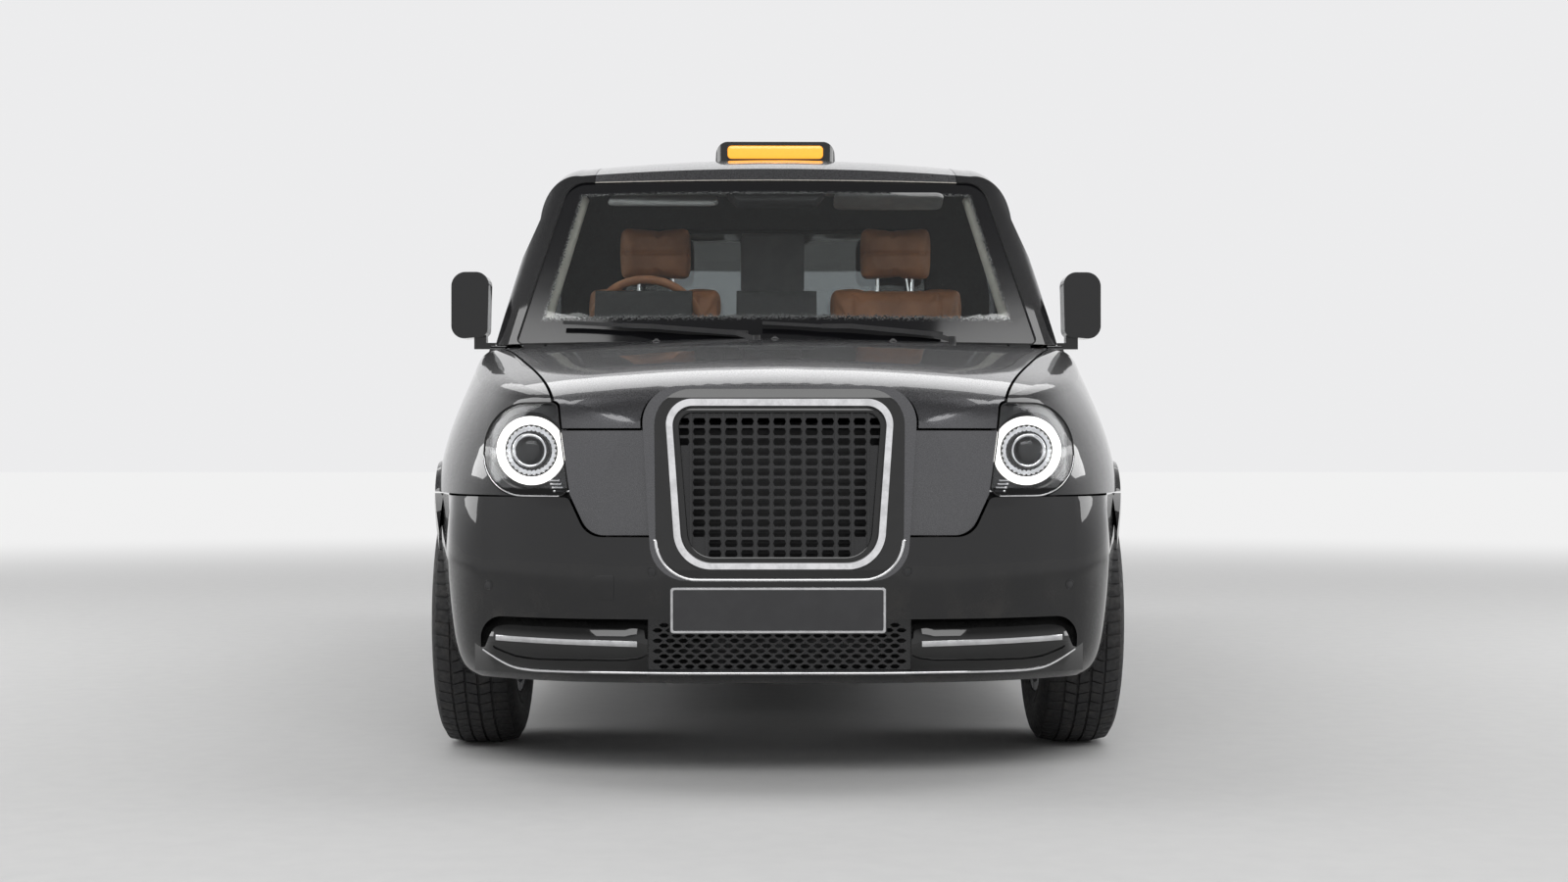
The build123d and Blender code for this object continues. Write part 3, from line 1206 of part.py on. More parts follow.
def rear_bumper():
    """The rear bumper."""
    start, top = REAR_BUMPER_Y + PANEL_GAP, CORNER_FOOT_Z - PANEL_GAP
    zone = box((-1000, 1000), (start, TAIL_Y + 10), (UNDER_Z, top))
    zone -= [
        tailgate_block(SHUT_GAP),
        box((-650, 650), (REAR_AXLE_Y, BODY_TAIL_Y - 200), (TAILGATE_FOOT_Z - SHUT_GAP, CORNER_FOOT_Z)),
    ]
    bumper = (rear_bumper_form(0) & zone) - rear_bumper_form(30)
    bumper += both(arch_flare(REAR_AXLE_Y, cab_lower(WING_WALL)) & zone)
    bumper -= box((-700, 700), (REAR_AXLE_Y, TAIL_Y - 260), (UNDER_Z, 300))
    liner_room = arch_cut(REAR_AXLE_Y, LINER_RADIUS + SEAT_FIT, 400, 1100) & cab_lower(WING_WALL)
    for side in (-1, 1):
        bumper -= on_side(arch_cut(REAR_AXLE_Y, ARCH_RADIUS, 400, 1100), side)
        bumper -= on_side(liner_room, side)
    return bumper


def tail_lamps():
    zone = tail_lamp_block(-SEAT_FIT)
    return both((cab_lower(0) & zone) - cab_lower(TAILGATE_WALL))


def screen_point(x, z, off):
    """A point a little outside the windscreen."""
    half = BELT_X - (z - BELT_Z) * 0.1538
    sag = SCREEN_SAG_FOOT - (z - BELT_Z) * 0.141
    radius = (half**2 + sag**2) / (2 * sag)
    return (x, screen_y(z) + radius - math.sqrt(radius**2 - x**2) - off, z)


def flat_bars(points, width, height):
    """Square-edged bars through a row of points, each run a little past its ends."""
    bars = []
    for start, end in zip(points, points[1:]):
        run = Vector(*end) - Vector(*start)
        past = run.normalized() * width / 3
        plane = Plane(origin=Vector(*start) - past, x_dir=(0, 1, 0), z_dir=run.normalized())
        bars.append(extrude(plane * Rectangle(height, width), run.length + 2 * past.length))
    return bars[0] + bars[1:]


# Columns: pivot across the car, blade's tip across the car, height of the tip
WIPERS = [
    (-60.0, -640.0, 1190.0),
    (520.0, -40.0, 1182.0),
]


def wipers():
    """Two wipers, parked along the foot of the windscreen."""
    pieces = []
    for pivot_x, tip_x, tip_z in WIPERS:
        pivot = screen_point(pivot_x, 1130.0, WIPER_ARM_OFF + 4)
        elbow = screen_point(pivot_x - 60, 1150.0, WIPER_ARM_OFF)
        knee = screen_point((pivot_x + tip_x) / 2 - 20, 1172.0, WIPER_ARM_OFF)
        blade = []
        for i in range(WIPER_BLADE_SPANS + 1):
            share = i / WIPER_BLADE_SPANS
            x = pivot_x - 30 + (tip_x - pivot_x + 30) * share
            blade.append(screen_point(x, WIPER_HEEL_Z + (tip_z - WIPER_HEEL_Z) * share, WIPER_BLADE_OFF))
        middle = blade[WIPER_BLADE_SPANS // 2 + 1]
        wiper = rod((pivot[0], pivot[1], BONNET_HINGE_Z - 20), (pivot[0], pivot[1], pivot[2] + 12), 11)
        wiper += flat_bars([pivot, elbow, knee, middle], 14, 9)
        wiper += flat_bars(blade, 10, 14)
        pieces += (wiper - front_form(COWL_DROP - SEAT_FIT)).solids()
    return Compound(children=pieces)


def export(name, shape):
    export_step(shape, f"parts/{name}.step")


def place_wheel(shape, side, axle_y):
    """A wheel part at its axle."""
    return on_side(Pos(WHEEL_X, axle_y, TYRE_RADIUS) * shape, side)


# Columns: name, side of the car's middle plane
SIDES = [("left", 1), ("right", -1)]

os.makedirs("parts", exist_ok=True)

RIM, TYRE = wheel_rim(), tyre()
FRONT_DOOR = door(front_door_block, front_window, FRONT_HINGE_Y, FRONT_DOOR_Y)
REAR_DOOR = door(rear_door_block, rear_window, REAR_HINGE_Y, REAR_DOOR_Y)
FRONT_GLASS, REAR_GLASS = door_glass(front_window), door_glass(rear_window)
FRAME, MIRROR, KNUCKLE = side_frame(), mirror_head(), knuckle()

for name, side in SIDES:
    export(f"side_frame_{name}", on_side(FRAME, side))
    export(f"front_door_{name}", on_side(FRONT_DOOR, side))
    export(f"rear_door_{name}", on_side(REAR_DOOR, side))
    export(f"front_door_glass_{name}", on_side(FRONT_GLASS, side))
    export(f"rear_door_glass_{name}", on_side(REAR_GLASS, side))
    export(f"door_mirror_{name}", on_side(MIRROR, side))
    export(f"steering_knuckle_{name}", on_side(KNUCKLE, side))
    for end, axle_y in (("front", FRONT_AXLE_Y), ("rear", REAR_AXLE_Y)):
        export(f"{end}_rim_{name}", place_wheel(RIM, side, axle_y))
        export(f"{end}_tyre_{name}", place_wheel(TYRE, side, axle_y))

HINGES = []
for hinge_y in (FRONT_HINGE_Y, REAR_HINGE_Y):
    for hinge_z in DOOR_HINGE_HEIGHTS:
        HINGES += both(hinge_arm(hinge_y, hinge_z)).solids()
LINERS = [
    *both(arch_liner(FRONT_AXLE_Y, FRONT_HOUSING_X, front_form(WING_WALL + SEAT_FIT))).solids(),
    *both(arch_liner(REAR_AXLE_Y, REAR_HOUSING_X, cab_lower(WING_WALL + SEAT_FIT))).solids(),
]

export("door_hinges", Compound(children=HINGES))
export("wheel_arch_liners", Compound(children=LINERS))
export("quarter_windows", both(door_glass(quarter_window)))
export("front_wings", both(wing()))
export("headlights", both(headlight()))
export("headlight_lenses", both(headlight_lens()))
export("front_seats", Compound(children=[*front_seat(DRIVER_X).solids(), *front_seat(-DRIVER_X).solids()]))
# Columns: node name, the function that makes it
SINGLES = [
    ("roof_panel", roof_panel),
    ("windscreen", windscreen),
    ("tailgate", tailgate),
    ("tailgate_glass", tailgate_glass),
    ("tail_lamps", tail_lamps),
    ("rear_bumper", rear_bumper),
    ("bonnet", bonnet),
    ("nose_panels", nose_panels),
    ("cowl_panel", cowl),
    ("wipers", wipers),
    ("front_bumper", front_bumper),
    ("lower_grille", lower_grille),
    ("grille_surround", grille_surround),
    ("grille_ring", grille_ring),
    ("grille_mesh", grille_mesh),
    ("floor_pan", floor_pan),
    ("battery_pack", battery_pack),
    ("engine_block", engine_block),
    ("front_rails", front_rails),
    ("front_suspension", front_beam),
    ("rear_axle", rear_axle),
    ("drive_unit", drive_unit),
    ("dashboard", lambda: dashboard() + steering_column()),
    ("steering_wheel", steering_wheel),
    ("rear_seat", rear_seat),
    ("partition", partition),
    ("partition_glass", partition_glass),
    ("taxi_sign", taxi_sign),
]
for name, build in SINGLES:
    export(name, build())
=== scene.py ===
"""Looks of a purpose-built city taxi cab in gloss black with a dark grey bonnet, in metres."""
import logging
import math
from dataclasses import dataclass
from enum import Enum
from typing import Callable, ClassVar, Sequence

import bpy
from mathutils import Matrix, Vector


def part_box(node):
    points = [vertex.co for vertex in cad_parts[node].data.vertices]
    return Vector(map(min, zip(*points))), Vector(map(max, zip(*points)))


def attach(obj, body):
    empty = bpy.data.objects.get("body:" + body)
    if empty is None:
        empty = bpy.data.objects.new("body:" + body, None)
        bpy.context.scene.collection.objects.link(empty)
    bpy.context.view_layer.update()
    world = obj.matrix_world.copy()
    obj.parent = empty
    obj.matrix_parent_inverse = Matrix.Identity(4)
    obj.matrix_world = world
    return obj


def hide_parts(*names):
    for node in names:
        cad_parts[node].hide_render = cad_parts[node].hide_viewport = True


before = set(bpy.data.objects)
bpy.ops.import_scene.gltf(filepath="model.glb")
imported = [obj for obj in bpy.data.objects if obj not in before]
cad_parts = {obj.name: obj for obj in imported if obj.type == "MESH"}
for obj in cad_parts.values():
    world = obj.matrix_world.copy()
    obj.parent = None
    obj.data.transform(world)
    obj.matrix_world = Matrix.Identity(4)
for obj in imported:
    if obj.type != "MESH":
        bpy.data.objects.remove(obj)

logging.basicConfig(level=logging.INFO, format="%(message)s")
log = logging.getLogger("taxi_cab")

Point = Sequence[float]
Colour = tuple[float, float, float]
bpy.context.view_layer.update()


class Side(Enum):
    """A side of the car, with the sign of its X."""

    LEFT = 1
    RIGHT = -1

    @property
    def word(self) -> str:
        """The side's name as the CAD nodes end with it."""
        return self.name.lower()


class Axis(Enum):
    """A direction in the car's frame."""

    X = (1.0, 0.0, 0.0)
    Y = (0.0, 1.0, 0.0)
    Z = (0.0, 0.0, 1.0)


class Bench:
    """Blender's own operators, used on one piece at a time."""

    @staticmethod
    def take(*objects: bpy.types.Object) -> None:
        """Selects only these objects and makes the first one active."""
        if bpy.context.object and bpy.context.object.mode != "OBJECT":
            bpy.ops.object.mode_set(mode="OBJECT")
        bpy.ops.object.select_all(action="DESELECT")
        for piece in objects:
            piece.select_set(True)
        bpy.context.view_layer.objects.active = objects[0]

    @staticmethod
    def added(name: str) -> bpy.types.Object:
        """Names the object that an operator has just added and puts its place into its mesh."""
        piece = bpy.context.object
        piece.name = piece.data.name = name
        bpy.ops.object.transform_apply(location=True, rotation=True, scale=True)
        return piece

    @classmethod
    def block(cls, name: str, low: Point, high: Point, round_off: float = 0.0,
              steps: int = 3) -> bpy.types.Object:
        """A block between two corners.

        Args:
            name: the piece's name.
            low: its lowest corner.
            high: its highest corner.
            round_off: the radius on its edges.
            steps: the segments of each rounded edge.

        Returns:
            The new object.
        """
        low, high = Vector(low), Vector(high)
        bpy.ops.object.select_all(action="DESELECT")
        bpy.ops.mesh.primitive_cube_add(size=1, location=(low + high) / 2)
        bpy.context.object.scale = high - low
        piece = cls.added(name)
        if round_off:
            cls.change(piece, "BEVEL", width=round_off, segments=steps, limit_method="ANGLE")
        return piece

    @classmethod
    def drum(cls, name: str, start: Point, end: Point, radius: float, sides: int = 48, round_off: float = 0.0,
             tip: float | None = None) -> bpy.types.Object:
        """A round bar, or a cone if a tip radius is given, between two points."""
        start, end = Vector(start), Vector(end)
        run = end - start
        bpy.ops.object.select_all(action="DESELECT")
        bpy.ops.mesh.primitive_cone_add(
            vertices=sides, radius1=radius, radius2=radius if tip is None else tip, depth=run.length,
            location=(start + end) / 2, rotation=run.to_track_quat("Z", "Y").to_euler())
        piece = cls.added(name)
        if round_off:
            cls.change(piece, "BEVEL", width=round_off, segments=3, limit_method="ANGLE", angle_limit=0.9)
        return piece

    @classmethod
    def hoop(cls, name: str, centre: Point, along: Point, major: float, minor: float, sides: int = 64,
             ring_sides: int = 12) -> bpy.types.Object:
        """A round ring about an axis."""
        bpy.ops.object.select_all(action="DESELECT")
        bpy.ops.mesh.primitive_torus_add(
            location=centre, rotation=Vector(along).to_track_quat("Z", "Y").to_euler(),
            major_radius=major, minor_radius=minor, major_segments=sides, minor_segments=ring_sides)
        return cls.added(name)

    @classmethod
    def dome(cls, name: str, centre: Point, size: Point, sides: int = 32) -> bpy.types.Object:
        """A ball stretched to a size along each axis."""
        bpy.ops.object.select_all(action="DESELECT")
        bpy.ops.mesh.primitive_uv_sphere_add(segments=sides, ring_count=sides // 2, radius=1, location=centre)
        bpy.context.object.scale = size
        return cls.added(name)

    @classmethod
    def bead(cls, name: str, points: Sequence[Point], radius: float, closed: bool = False, order: int = 3,
             sides: int = 2) -> bpy.types.Object:
        """A round strip along a row of points.

        Args:
            name: the piece's name.
            points: the points that it follows.
            radius: half its thickness.
            closed: whether its end joins its start.
            order: 2 for straight runs, 3 for a smooth line.
            sides: the fineness of its section.

        Returns:
            The new mesh object.
        """
        bpy.ops.object.select_all(action="DESELECT")
        bpy.ops.curve.primitive_nurbs_path_add()
        curve = bpy.context.object.data
        curve.splines.clear()
        spline = curve.splines.new("NURBS")
        spline.points.add(len(points) - 1)
        for place, point in zip(spline.points, points):
            place.co = (*point, 1.0)
        spline.order_u = order
        spline.use_cyclic_u = closed
        spline.use_endpoint_u = not closed
        spline.resolution_u = 6
        curve.dimensions = "3D"
        curve.bevel_depth = radius
        curve.bevel_resolution = sides
        curve.use_fill_caps = not closed
        bpy.ops.object.convert(target="MESH")
        return cls.weld(cls.added(name))

    @classmethod
    def plate(cls, name: str, outlines: Sequence[Sequence[Point]], place: Matrix, thick: float,
              round_off: float = 0.0) -> bpy.types.Object:
        """A flat plate on a frame's XY plane, from its Z of 0 up.

        Args:
            name: the piece's name.
            outlines: its closed outline, and the outline of each hole in it.
            place: the frame.
            thick: its thickness.
            round_off: the radius on its edges.

        Returns:
            The new mesh object.
        """
        bpy.ops.object.select_all(action="DESELECT")
        bpy.ops.curve.primitive_bezier_circle_add()
        curve = bpy.context.object.data
        curve.splines.clear()
        for outline in outlines:
            spline = curve.splines.new("POLY")
            spline.points.add(len(outline) - 1)
            for point, (x, y) in zip(spline.points, outline):
                point.co = (x, y, 0.0, 1.0)
            spline.use_cyclic_u = True
        curve.dimensions, curve.fill_mode = "2D", "BOTH"
        curve.extrude, curve.bevel_depth = thick / 2 - round_off, round_off
        curve.offset, curve.bevel_resolution = -round_off, 1
        bpy.ops.object.convert(target="MESH")
        bpy.context.object.matrix_world = place @ Matrix.Translation((0, 0, thick / 2))
        return cls.weld(cls.added(name))

    @classmethod
    def ribbon(cls, name: str, points: Sequence[Point], half_height: float, thick: float,
               round_off: float = 0.0) -> bpy.types.Object:
        """An upright strip that follows a row of points, thickened on both sides."""
        bpy.ops.object.select_all(action="DESELECT")
        bpy.ops.curve.primitive_nurbs_path_add()
        curve = bpy.context.object.data
        curve.splines.clear()
        spline = curve.splines.new("POLY")
        spline.points.add(len(points) - 1)
        for place, point in zip(spline.points, points):
            place.co = (*point, 1.0)
        curve.dimensions, curve.twist_mode, curve.extrude = "3D", "Z_UP", half_height
        bpy.ops.object.convert(target="MESH")
        piece = cls.weld(cls.added(name))
        cls.change(piece, "SOLIDIFY", thickness=thick, offset=0.0, use_even_offset=True)
        if round_off:
            cls.change(piece, "BEVEL", width=round_off, segments=2, limit_method="ANGLE", angle_limit=0.9)
        return piece

    @classmethod
    def weld(cls, piece: bpy.types.Object) -> bpy.types.Object:
        """Merges doubled points and turns every face outwards."""
        cls.take(piece)
        bpy.ops.object.mode_set(mode="EDIT")
        bpy.ops.mesh.select_all(action="SELECT")
        bpy.ops.mesh.remove_doubles(threshold=1e-5)
        bpy.ops.mesh.normals_make_consistent(inside=False)
        bpy.ops.object.mode_set(mode="OBJECT")
        return piece

    @classmethod
    def peel(cls, name: str, node: str, wanted: Callable[[Vector, Vector], bool]) -> bpy.types.Object:
        """A sheet copied from the faces of a CAD node that pass a test on their middle and normal."""
        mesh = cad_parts[node].data.copy()
        mesh.materials.clear()
        piece = bpy.data.objects.new(name, mesh)
        mesh.name = name
        bpy.context.scene.collection.objects.link(piece)
        cls.take(piece)
        bpy.ops.object.mode_set(mode="EDIT")
        bpy.ops.mesh.select_all(action="SELECT")
        bpy.ops.mesh.remove_doubles(threshold=1e-5)
        bpy.ops.object.mode_set(mode="OBJECT")
        cls.shape(piece, lambda middle, normal: not wanted(middle, normal),
                  lambda: bpy.ops.mesh.delete(type="FACE"))
        return piece

    @classmethod
    def edging(cls, name: str, node: str, wanted: Callable[[Vector, Vector], bool], radius: float,
               kept: Callable[[Vector], bool] | None = None) -> bpy.types.Object:
        """A round bead along the edge of the faces of a CAD node that pass a test.

        Args:
            name: the piece's name.
            node: the CAD node.
            wanted: a test on a face's middle and normal.
            radius: half the bead's thickness.
            kept: a test on a point of the edge, for a bead along a part of it.

        Returns:
            The new mesh object.
        """
        piece = cls.peel(name, node, wanted)
        cls.take(piece)
        bpy.ops.object.mode_set(mode="EDIT")
        bpy.ops.mesh.select_all(action="SELECT")
        bpy.ops.mesh.region_to_loop()
        bpy.ops.mesh.select_all(action="INVERT")
        bpy.ops.mesh.delete(type="EDGE")
        bpy.ops.object.mode_set(mode="OBJECT")
        if kept:
            for point in piece.data.vertices:
                point.select = not kept(point.co)
            bpy.context.tool_settings.mesh_select_mode = (True, False, False)
            bpy.ops.object.mode_set(mode="EDIT")
            bpy.ops.mesh.delete(type="VERT")
            bpy.ops.object.mode_set(mode="OBJECT")
        bpy.ops.object.convert(target="CURVE")
        curve = bpy.context.object.data
        curve.bevel_depth, curve.bevel_resolution, curve.use_fill_caps = radius, 2, True
        bpy.ops.object.convert(target="MESH")
        made = bpy.context.object
        made.name = made.data.name = name
        return cls.weld(made)

    @staticmethod
    def change(piece: bpy.types.Object, kind: str, **settings: object) -> None:
        """Adds a modifier with these settings and applies it."""
        Bench.take(piece)
        modifier = piece.modifiers.new(kind.lower(), kind)
        for key, value in settings.items():
            setattr(modifier, key, value)
        bpy.ops.object.modifier_apply(modifier=modifier.name)

    @staticmethod
    def shape(piece: bpy.types.Object, wanted: Callable[[Vector, Vector], bool],
              *steps: Callable[[], object]) -> None:
        """Runs edit mode operators on the faces that pass a test on their middle and normal."""
        Bench.take(piece)
        mesh = piece.data
        for group in (mesh.vertices, mesh.edges):
            for item in group:
                item.select = False
        for face in mesh.polygons:
            face.select = wanted(face.center, face.normal)
        bpy.context.tool_settings.mesh_select_mode = (False, False, True)
        bpy.ops.object.mode_set(mode="EDIT")
        for step in steps:
            step()
        bpy.ops.object.mode_set(mode="OBJECT")

    @staticmethod
    def cut(piece: bpy.types.Object, place: Point, normal: Point, drop: bool = False) -> None:
        """Cuts a plane's line into a mesh, and drops what lies on the normal's side if asked."""
        Bench.take(piece)
        bpy.ops.object.mode_set(mode="EDIT")
        bpy.ops.mesh.select_all(action="SELECT")
        bpy.ops.mesh.bisect(plane_co=place, plane_no=normal, clear_outer=drop, use_fill=drop)
        bpy.ops.object.mode_set(mode="OBJECT")

    @staticmethod
    def copy(piece: bpy.types.Object, name: str, move: Matrix | None = None) -> bpy.types.Object:
        """A copy with its own mesh, moved by a matrix."""
        twin = piece.copy()
        twin.data = piece.data.copy()
        twin.name = twin.data.name = name
        bpy.context.scene.collection.objects.link(twin)
        if move:
            twin.data.transform(move)
            if move.determinant() < 0:
                twin.data.flip_normals()
        return twin

    @classmethod
    def other_side(cls, piece: bpy.types.Object, name: str) -> bpy.types.Object:
        """The mirror image of a piece on the other side of the car."""
        return cls.copy(piece, name, Matrix.Scale(-1, 4, Axis.X.value))

    @classmethod
    def join(cls, name: str, pieces: Sequence[bpy.types.Object]) -> bpy.types.Object:
        """One object made of several."""
        cls.take(*pieces)
        if len(pieces) > 1:
            bpy.ops.object.join()
        whole = bpy.context.object
        whole.name = whole.data.name = name
        return whole

    @classmethod
    def cut_out(cls, piece: bpy.types.Object, cutter: bpy.types.Object) -> None:
        """Takes the cutter's space out of a piece and removes the cutter."""
        cls.change(piece, "BOOLEAN", object=cutter, operation="DIFFERENCE", solver="EXACT")
        bpy.data.objects.remove(cutter)

    @staticmethod
    def smooth(piece: bpy.types.Object, degrees: float = 35.0) -> bpy.types.Object:
        """Shades a piece smooth across edges flatter than an angle."""
        Bench.take(piece)
        bpy.ops.object.shade_smooth_by_angle(angle=math.radians(degrees))
        return piece


def land(node: str | bpy.types.Object, start: Point, direction: Point) -> tuple[Vector, Vector]:
    """Where a straight line first meets a CAD node or a piece.

    Args:
        node: the node's name, or the piece.
        start: a point on the line, outside it.
        direction: the way that the line runs.

    Returns:
        The point met and the surface's normal there.
    """
    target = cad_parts[node] if isinstance(node, str) else node
    hit, place, normal, _ = target.ray_cast(Vector(start), Vector(direction).normalized())
    if not hit:
        raise ValueError(f"no surface of {node} from {tuple(start)} along {tuple(direction)}")
    return place, normal


def turned(place: Point, normal: Point) -> Matrix:
    """A frame whose Z lies along a normal and whose Y points up the surface."""
    return Matrix.Translation(place) @ Vector(normal).to_track_quat("Z", "Y").to_matrix().to_4x4()


def rounded(points: Sequence[Point], radii: Sequence[float], steps: int = 7) -> list[tuple[float, float]]:
    """The points of a closed outline with rounded corners.

    Args:
        points: its corners.
        radii: the radius at each corner.
        steps: the points along each round corner.

    Returns:
        The outline's points in order.
    """
    made = []
    for i, radius in enumerate(radii):
        corner = Vector(points[i])
        back = (Vector(points[i - 1]) - corner).normalized()
        ahead = (Vector(points[(i + 1) % len(points)]) - corner).normalized()
        half = back.angle(ahead) / 2
        centre = corner + (back + ahead).normalized() * radius / math.sin(half)
        start = corner + back * radius / math.tan(half) - centre
        end = corner + ahead * radius / math.tan(half) - centre
        turn = start.angle_signed(end)
        for step in range(steps):
            angle = -turn * step / (steps - 1)
            made.append((centre.x + start.x * math.cos(angle) - start.y * math.sin(angle),
                         centre.y + start.x * math.sin(angle) + start.y * math.cos(angle)))
    return made


def oblong(width: float, height: float, radius: float) -> list[tuple[float, float]]:
    """A rectangle with rounded corners about the origin."""
    x, y = width / 2, height / 2
    return rounded([(-x, -y), (x, -y), (x, y), (-x, y)], [radius] * 4)


class Shade:
    """A material's node tree, with short ways to build it."""

    def __init__(self, name: str) -> None:
        """Starts a material whose pattern lies on Object coordinates."""
        self.material = bpy.data.materials.new(name)
        self.material.use_nodes = True
        self.tree = self.material.node_tree
        self.shader = self.tree.nodes["Principled BSDF"]
        self.where = self.node("ShaderNodeTexCoord").outputs["Object"]

    def node(self, kind: str, **settings: object) -> bpy.types.Node:
        """Adds a node and sets its properties."""
        made = self.tree.nodes.new(kind)
        for key, value in settings.items():
            setattr(made, key, value)
        return made

    def put(self, **values: object) -> None:
        """Sets the shader's own sockets, named with underscores for spaces."""
        for key, value in values.items():
            socket = self.shader.inputs[key.replace("_", " ")]
            socket.default_value = (*value, 1.0) if isinstance(value, tuple) and len(value) == 3 else value

    def join(self, source: object, target: object) -> None:
        """Links an output, or sets a plain number or colour, on an input."""
        if isinstance(source, bpy.types.NodeSocket):
            self.tree.links.new(source, target)
        elif isinstance(source, tuple) and len(source) == 3 and target.type == "RGBA":
            target.default_value = (*source, 1.0)
        else:
            target.default_value = source

    def stretched(self, scale: Point, turn: Point = (0, 0, 0)) -> bpy.types.NodeSocket:
        """Object coordinates scaled and turned."""
        mapping = self.node("ShaderNodeMapping")
        mapping.inputs["Scale"].default_value = scale
        mapping.inputs["Rotation"].default_value = turn
        self.join(self.where, mapping.inputs["Vector"])
        return mapping.outputs["Vector"]

    def noise(self, scale: float, detail: float = 2.0, rough: float = 0.5,
              where: bpy.types.NodeSocket | None = None) -> bpy.types.NodeSocket:
        """Soft noise between 0 and 1."""
        made = self.node("ShaderNodeTexNoise")
        made.inputs["Scale"].default_value = scale
        made.inputs["Detail"].default_value = detail
        made.inputs["Roughness"].default_value = rough
        self.join(where or self.where, made.inputs["Vector"])
        return made.outputs["Fac"]

    def cells(self, scale: float, feature: str = "F1", output: str = "Distance") -> bpy.types.NodeSocket:
        """A cell pattern."""
        made = self.node("ShaderNodeTexVoronoi", feature=feature)
        made.inputs["Scale"].default_value = scale
        self.join(self.where, made.inputs["Vector"])
        return made.outputs[output]

    def part(self, axis: str) -> bpy.types.NodeSocket:
        """One of the Object coordinates."""
        made = self.node("ShaderNodeSeparateXYZ")
        self.join(self.where, made.inputs[0])
        return made.outputs[axis]

    def sum(self, kind: str, a: object, b: object = 0.0, clamp: bool = False) -> bpy.types.NodeSocket:
        """A sum of two values, of a kind that the Math node names."""
        made = self.node("ShaderNodeMath", operation=kind, use_clamp=clamp)
        self.join(a, made.inputs[0])
        self.join(b, made.inputs[1])
        return made.outputs[0]

    def ranged(self, value: object, low: float, high: float, to_low: float = 0.0,
               to_high: float = 1.0) -> bpy.types.NodeSocket:
        """A value carried smoothly from one range to another."""
        made = self.node("ShaderNodeMapRange", interpolation_type="SMOOTHSTEP")
        self.join(value, made.inputs["Value"])
        made.inputs["From Min"].default_value, made.inputs["From Max"].default_value = low, high
        made.inputs["To Min"].default_value, made.inputs["To Max"].default_value = to_low, to_high
        return made.outputs["Result"]

    def mixed(self, share: object, a: object, b: object) -> bpy.types.NodeSocket:
        """A colour between two others."""
        made = self.node("ShaderNodeMix", data_type="RGBA")
        self.join(share, made.inputs["Factor"])
        self.join(a, made.inputs[6])
        self.join(b, made.inputs[7])
        return made.outputs[2]

    def paint(self, socket: str, source: object) -> None:
        """Links a source to one of the shader's sockets."""
        self.join(source, self.shader.inputs[socket])

    def bumped(self, height: bpy.types.NodeSocket, deep: float, strength: float = 1.0) -> None:
        """Adds bump of a depth in metres."""
        made = self.node("ShaderNodeBump")
        made.inputs["Strength"].default_value = strength
        made.inputs["Distance"].default_value = deep
        self.join(height, made.inputs["Height"])
        socket = self.shader.inputs["Normal"]
        if socket.links:
            self.join(socket.links[0].from_socket, made.inputs["Normal"])
        self.join(made.outputs["Normal"], socket)


@dataclass(frozen=True)
class Finish:
    """A surface finish. Each kind makes its own material once."""

    name: str
    made: ClassVar[dict[str, bpy.types.Material]] = {}

    def material(self) -> bpy.types.Material:
        """The finish's material."""
        if self.name not in Finish.made:
            shade = Shade(self.name)
            self.build(shade)
            Finish.made[self.name] = shade.material
        return Finish.made[self.name]

    def build(self, shade: Shade) -> None:
        """Builds the node tree."""
        raise NotImplementedError


@dataclass(frozen=True)
class CarPaint(Finish):
    """Clear-coated paint with fine flake, and road dust low down."""

    colour: Colour
    flake_colour: Colour
    flake: float
    metal: float

    def build(self, shade: Shade) -> None:
        """A base with flake, a coat with slight orange peel, and dust towards the sills."""
        sparkle = shade.ranged(shade.cells(1400.0, output="Color"), 0.25, 0.95, 0.0, self.flake)
        base = shade.mixed(sparkle, self.colour, self.flake_colour)
        low = shade.ranged(shade.part("Z"), 0.62, 0.22)
        dust = shade.sum("MULTIPLY", low, shade.ranged(shade.noise(9.0, 6.0, 0.65), 0.42, 0.8, 0.0, 0.16))
        shade.paint("Base Color", shade.mixed(dust, base, (0.17, 0.15, 0.125)))
        shade.paint("Roughness",
                    shade.sum("ADD", shade.ranged(shade.noise(260.0), 0.3, 0.7, 0.24, 0.34), dust, True))
        shade.put(Metallic=self.metal, Coat_Weight=1.0, Coat_Roughness=0.02, Coat_IOR=1.5,
                  Specular_IOR_Level=0.05)
        shade.bumped(shade.noise(85.0, 1.0), 0.00003, 0.35)


@dataclass(frozen=True)
class Plastic(Finish):
    """Moulded plastic, from satin grain to piano gloss."""

    colour: Colour
    rough: float
    grain: float = 0.0
    coat: float = 0.0

    def build(self, shade: Shade) -> None:
        """A tone that varies a little, with moulded grain."""
        worn = shade.ranged(shade.noise(22.0, 4.0), 0.35, 0.75, 0.0, 0.35)
        lighter = tuple(min(1.0, c * 1.5 + 0.004) for c in self.colour)
        shade.paint("Base Color", shade.mixed(worn, self.colour, lighter))
        shade.paint("Roughness",
                    shade.ranged(shade.noise(140.0, 3.0), 0.3, 0.7, self.rough * 0.85, self.rough * 1.15))
        shade.put(Coat_Weight=self.coat, Coat_Roughness=0.03, Specular_IOR_Level=0.5 - 0.42 * self.coat)
        if self.grain:
            shade.bumped(shade.cells(1500.0), self.grain, 0.6)


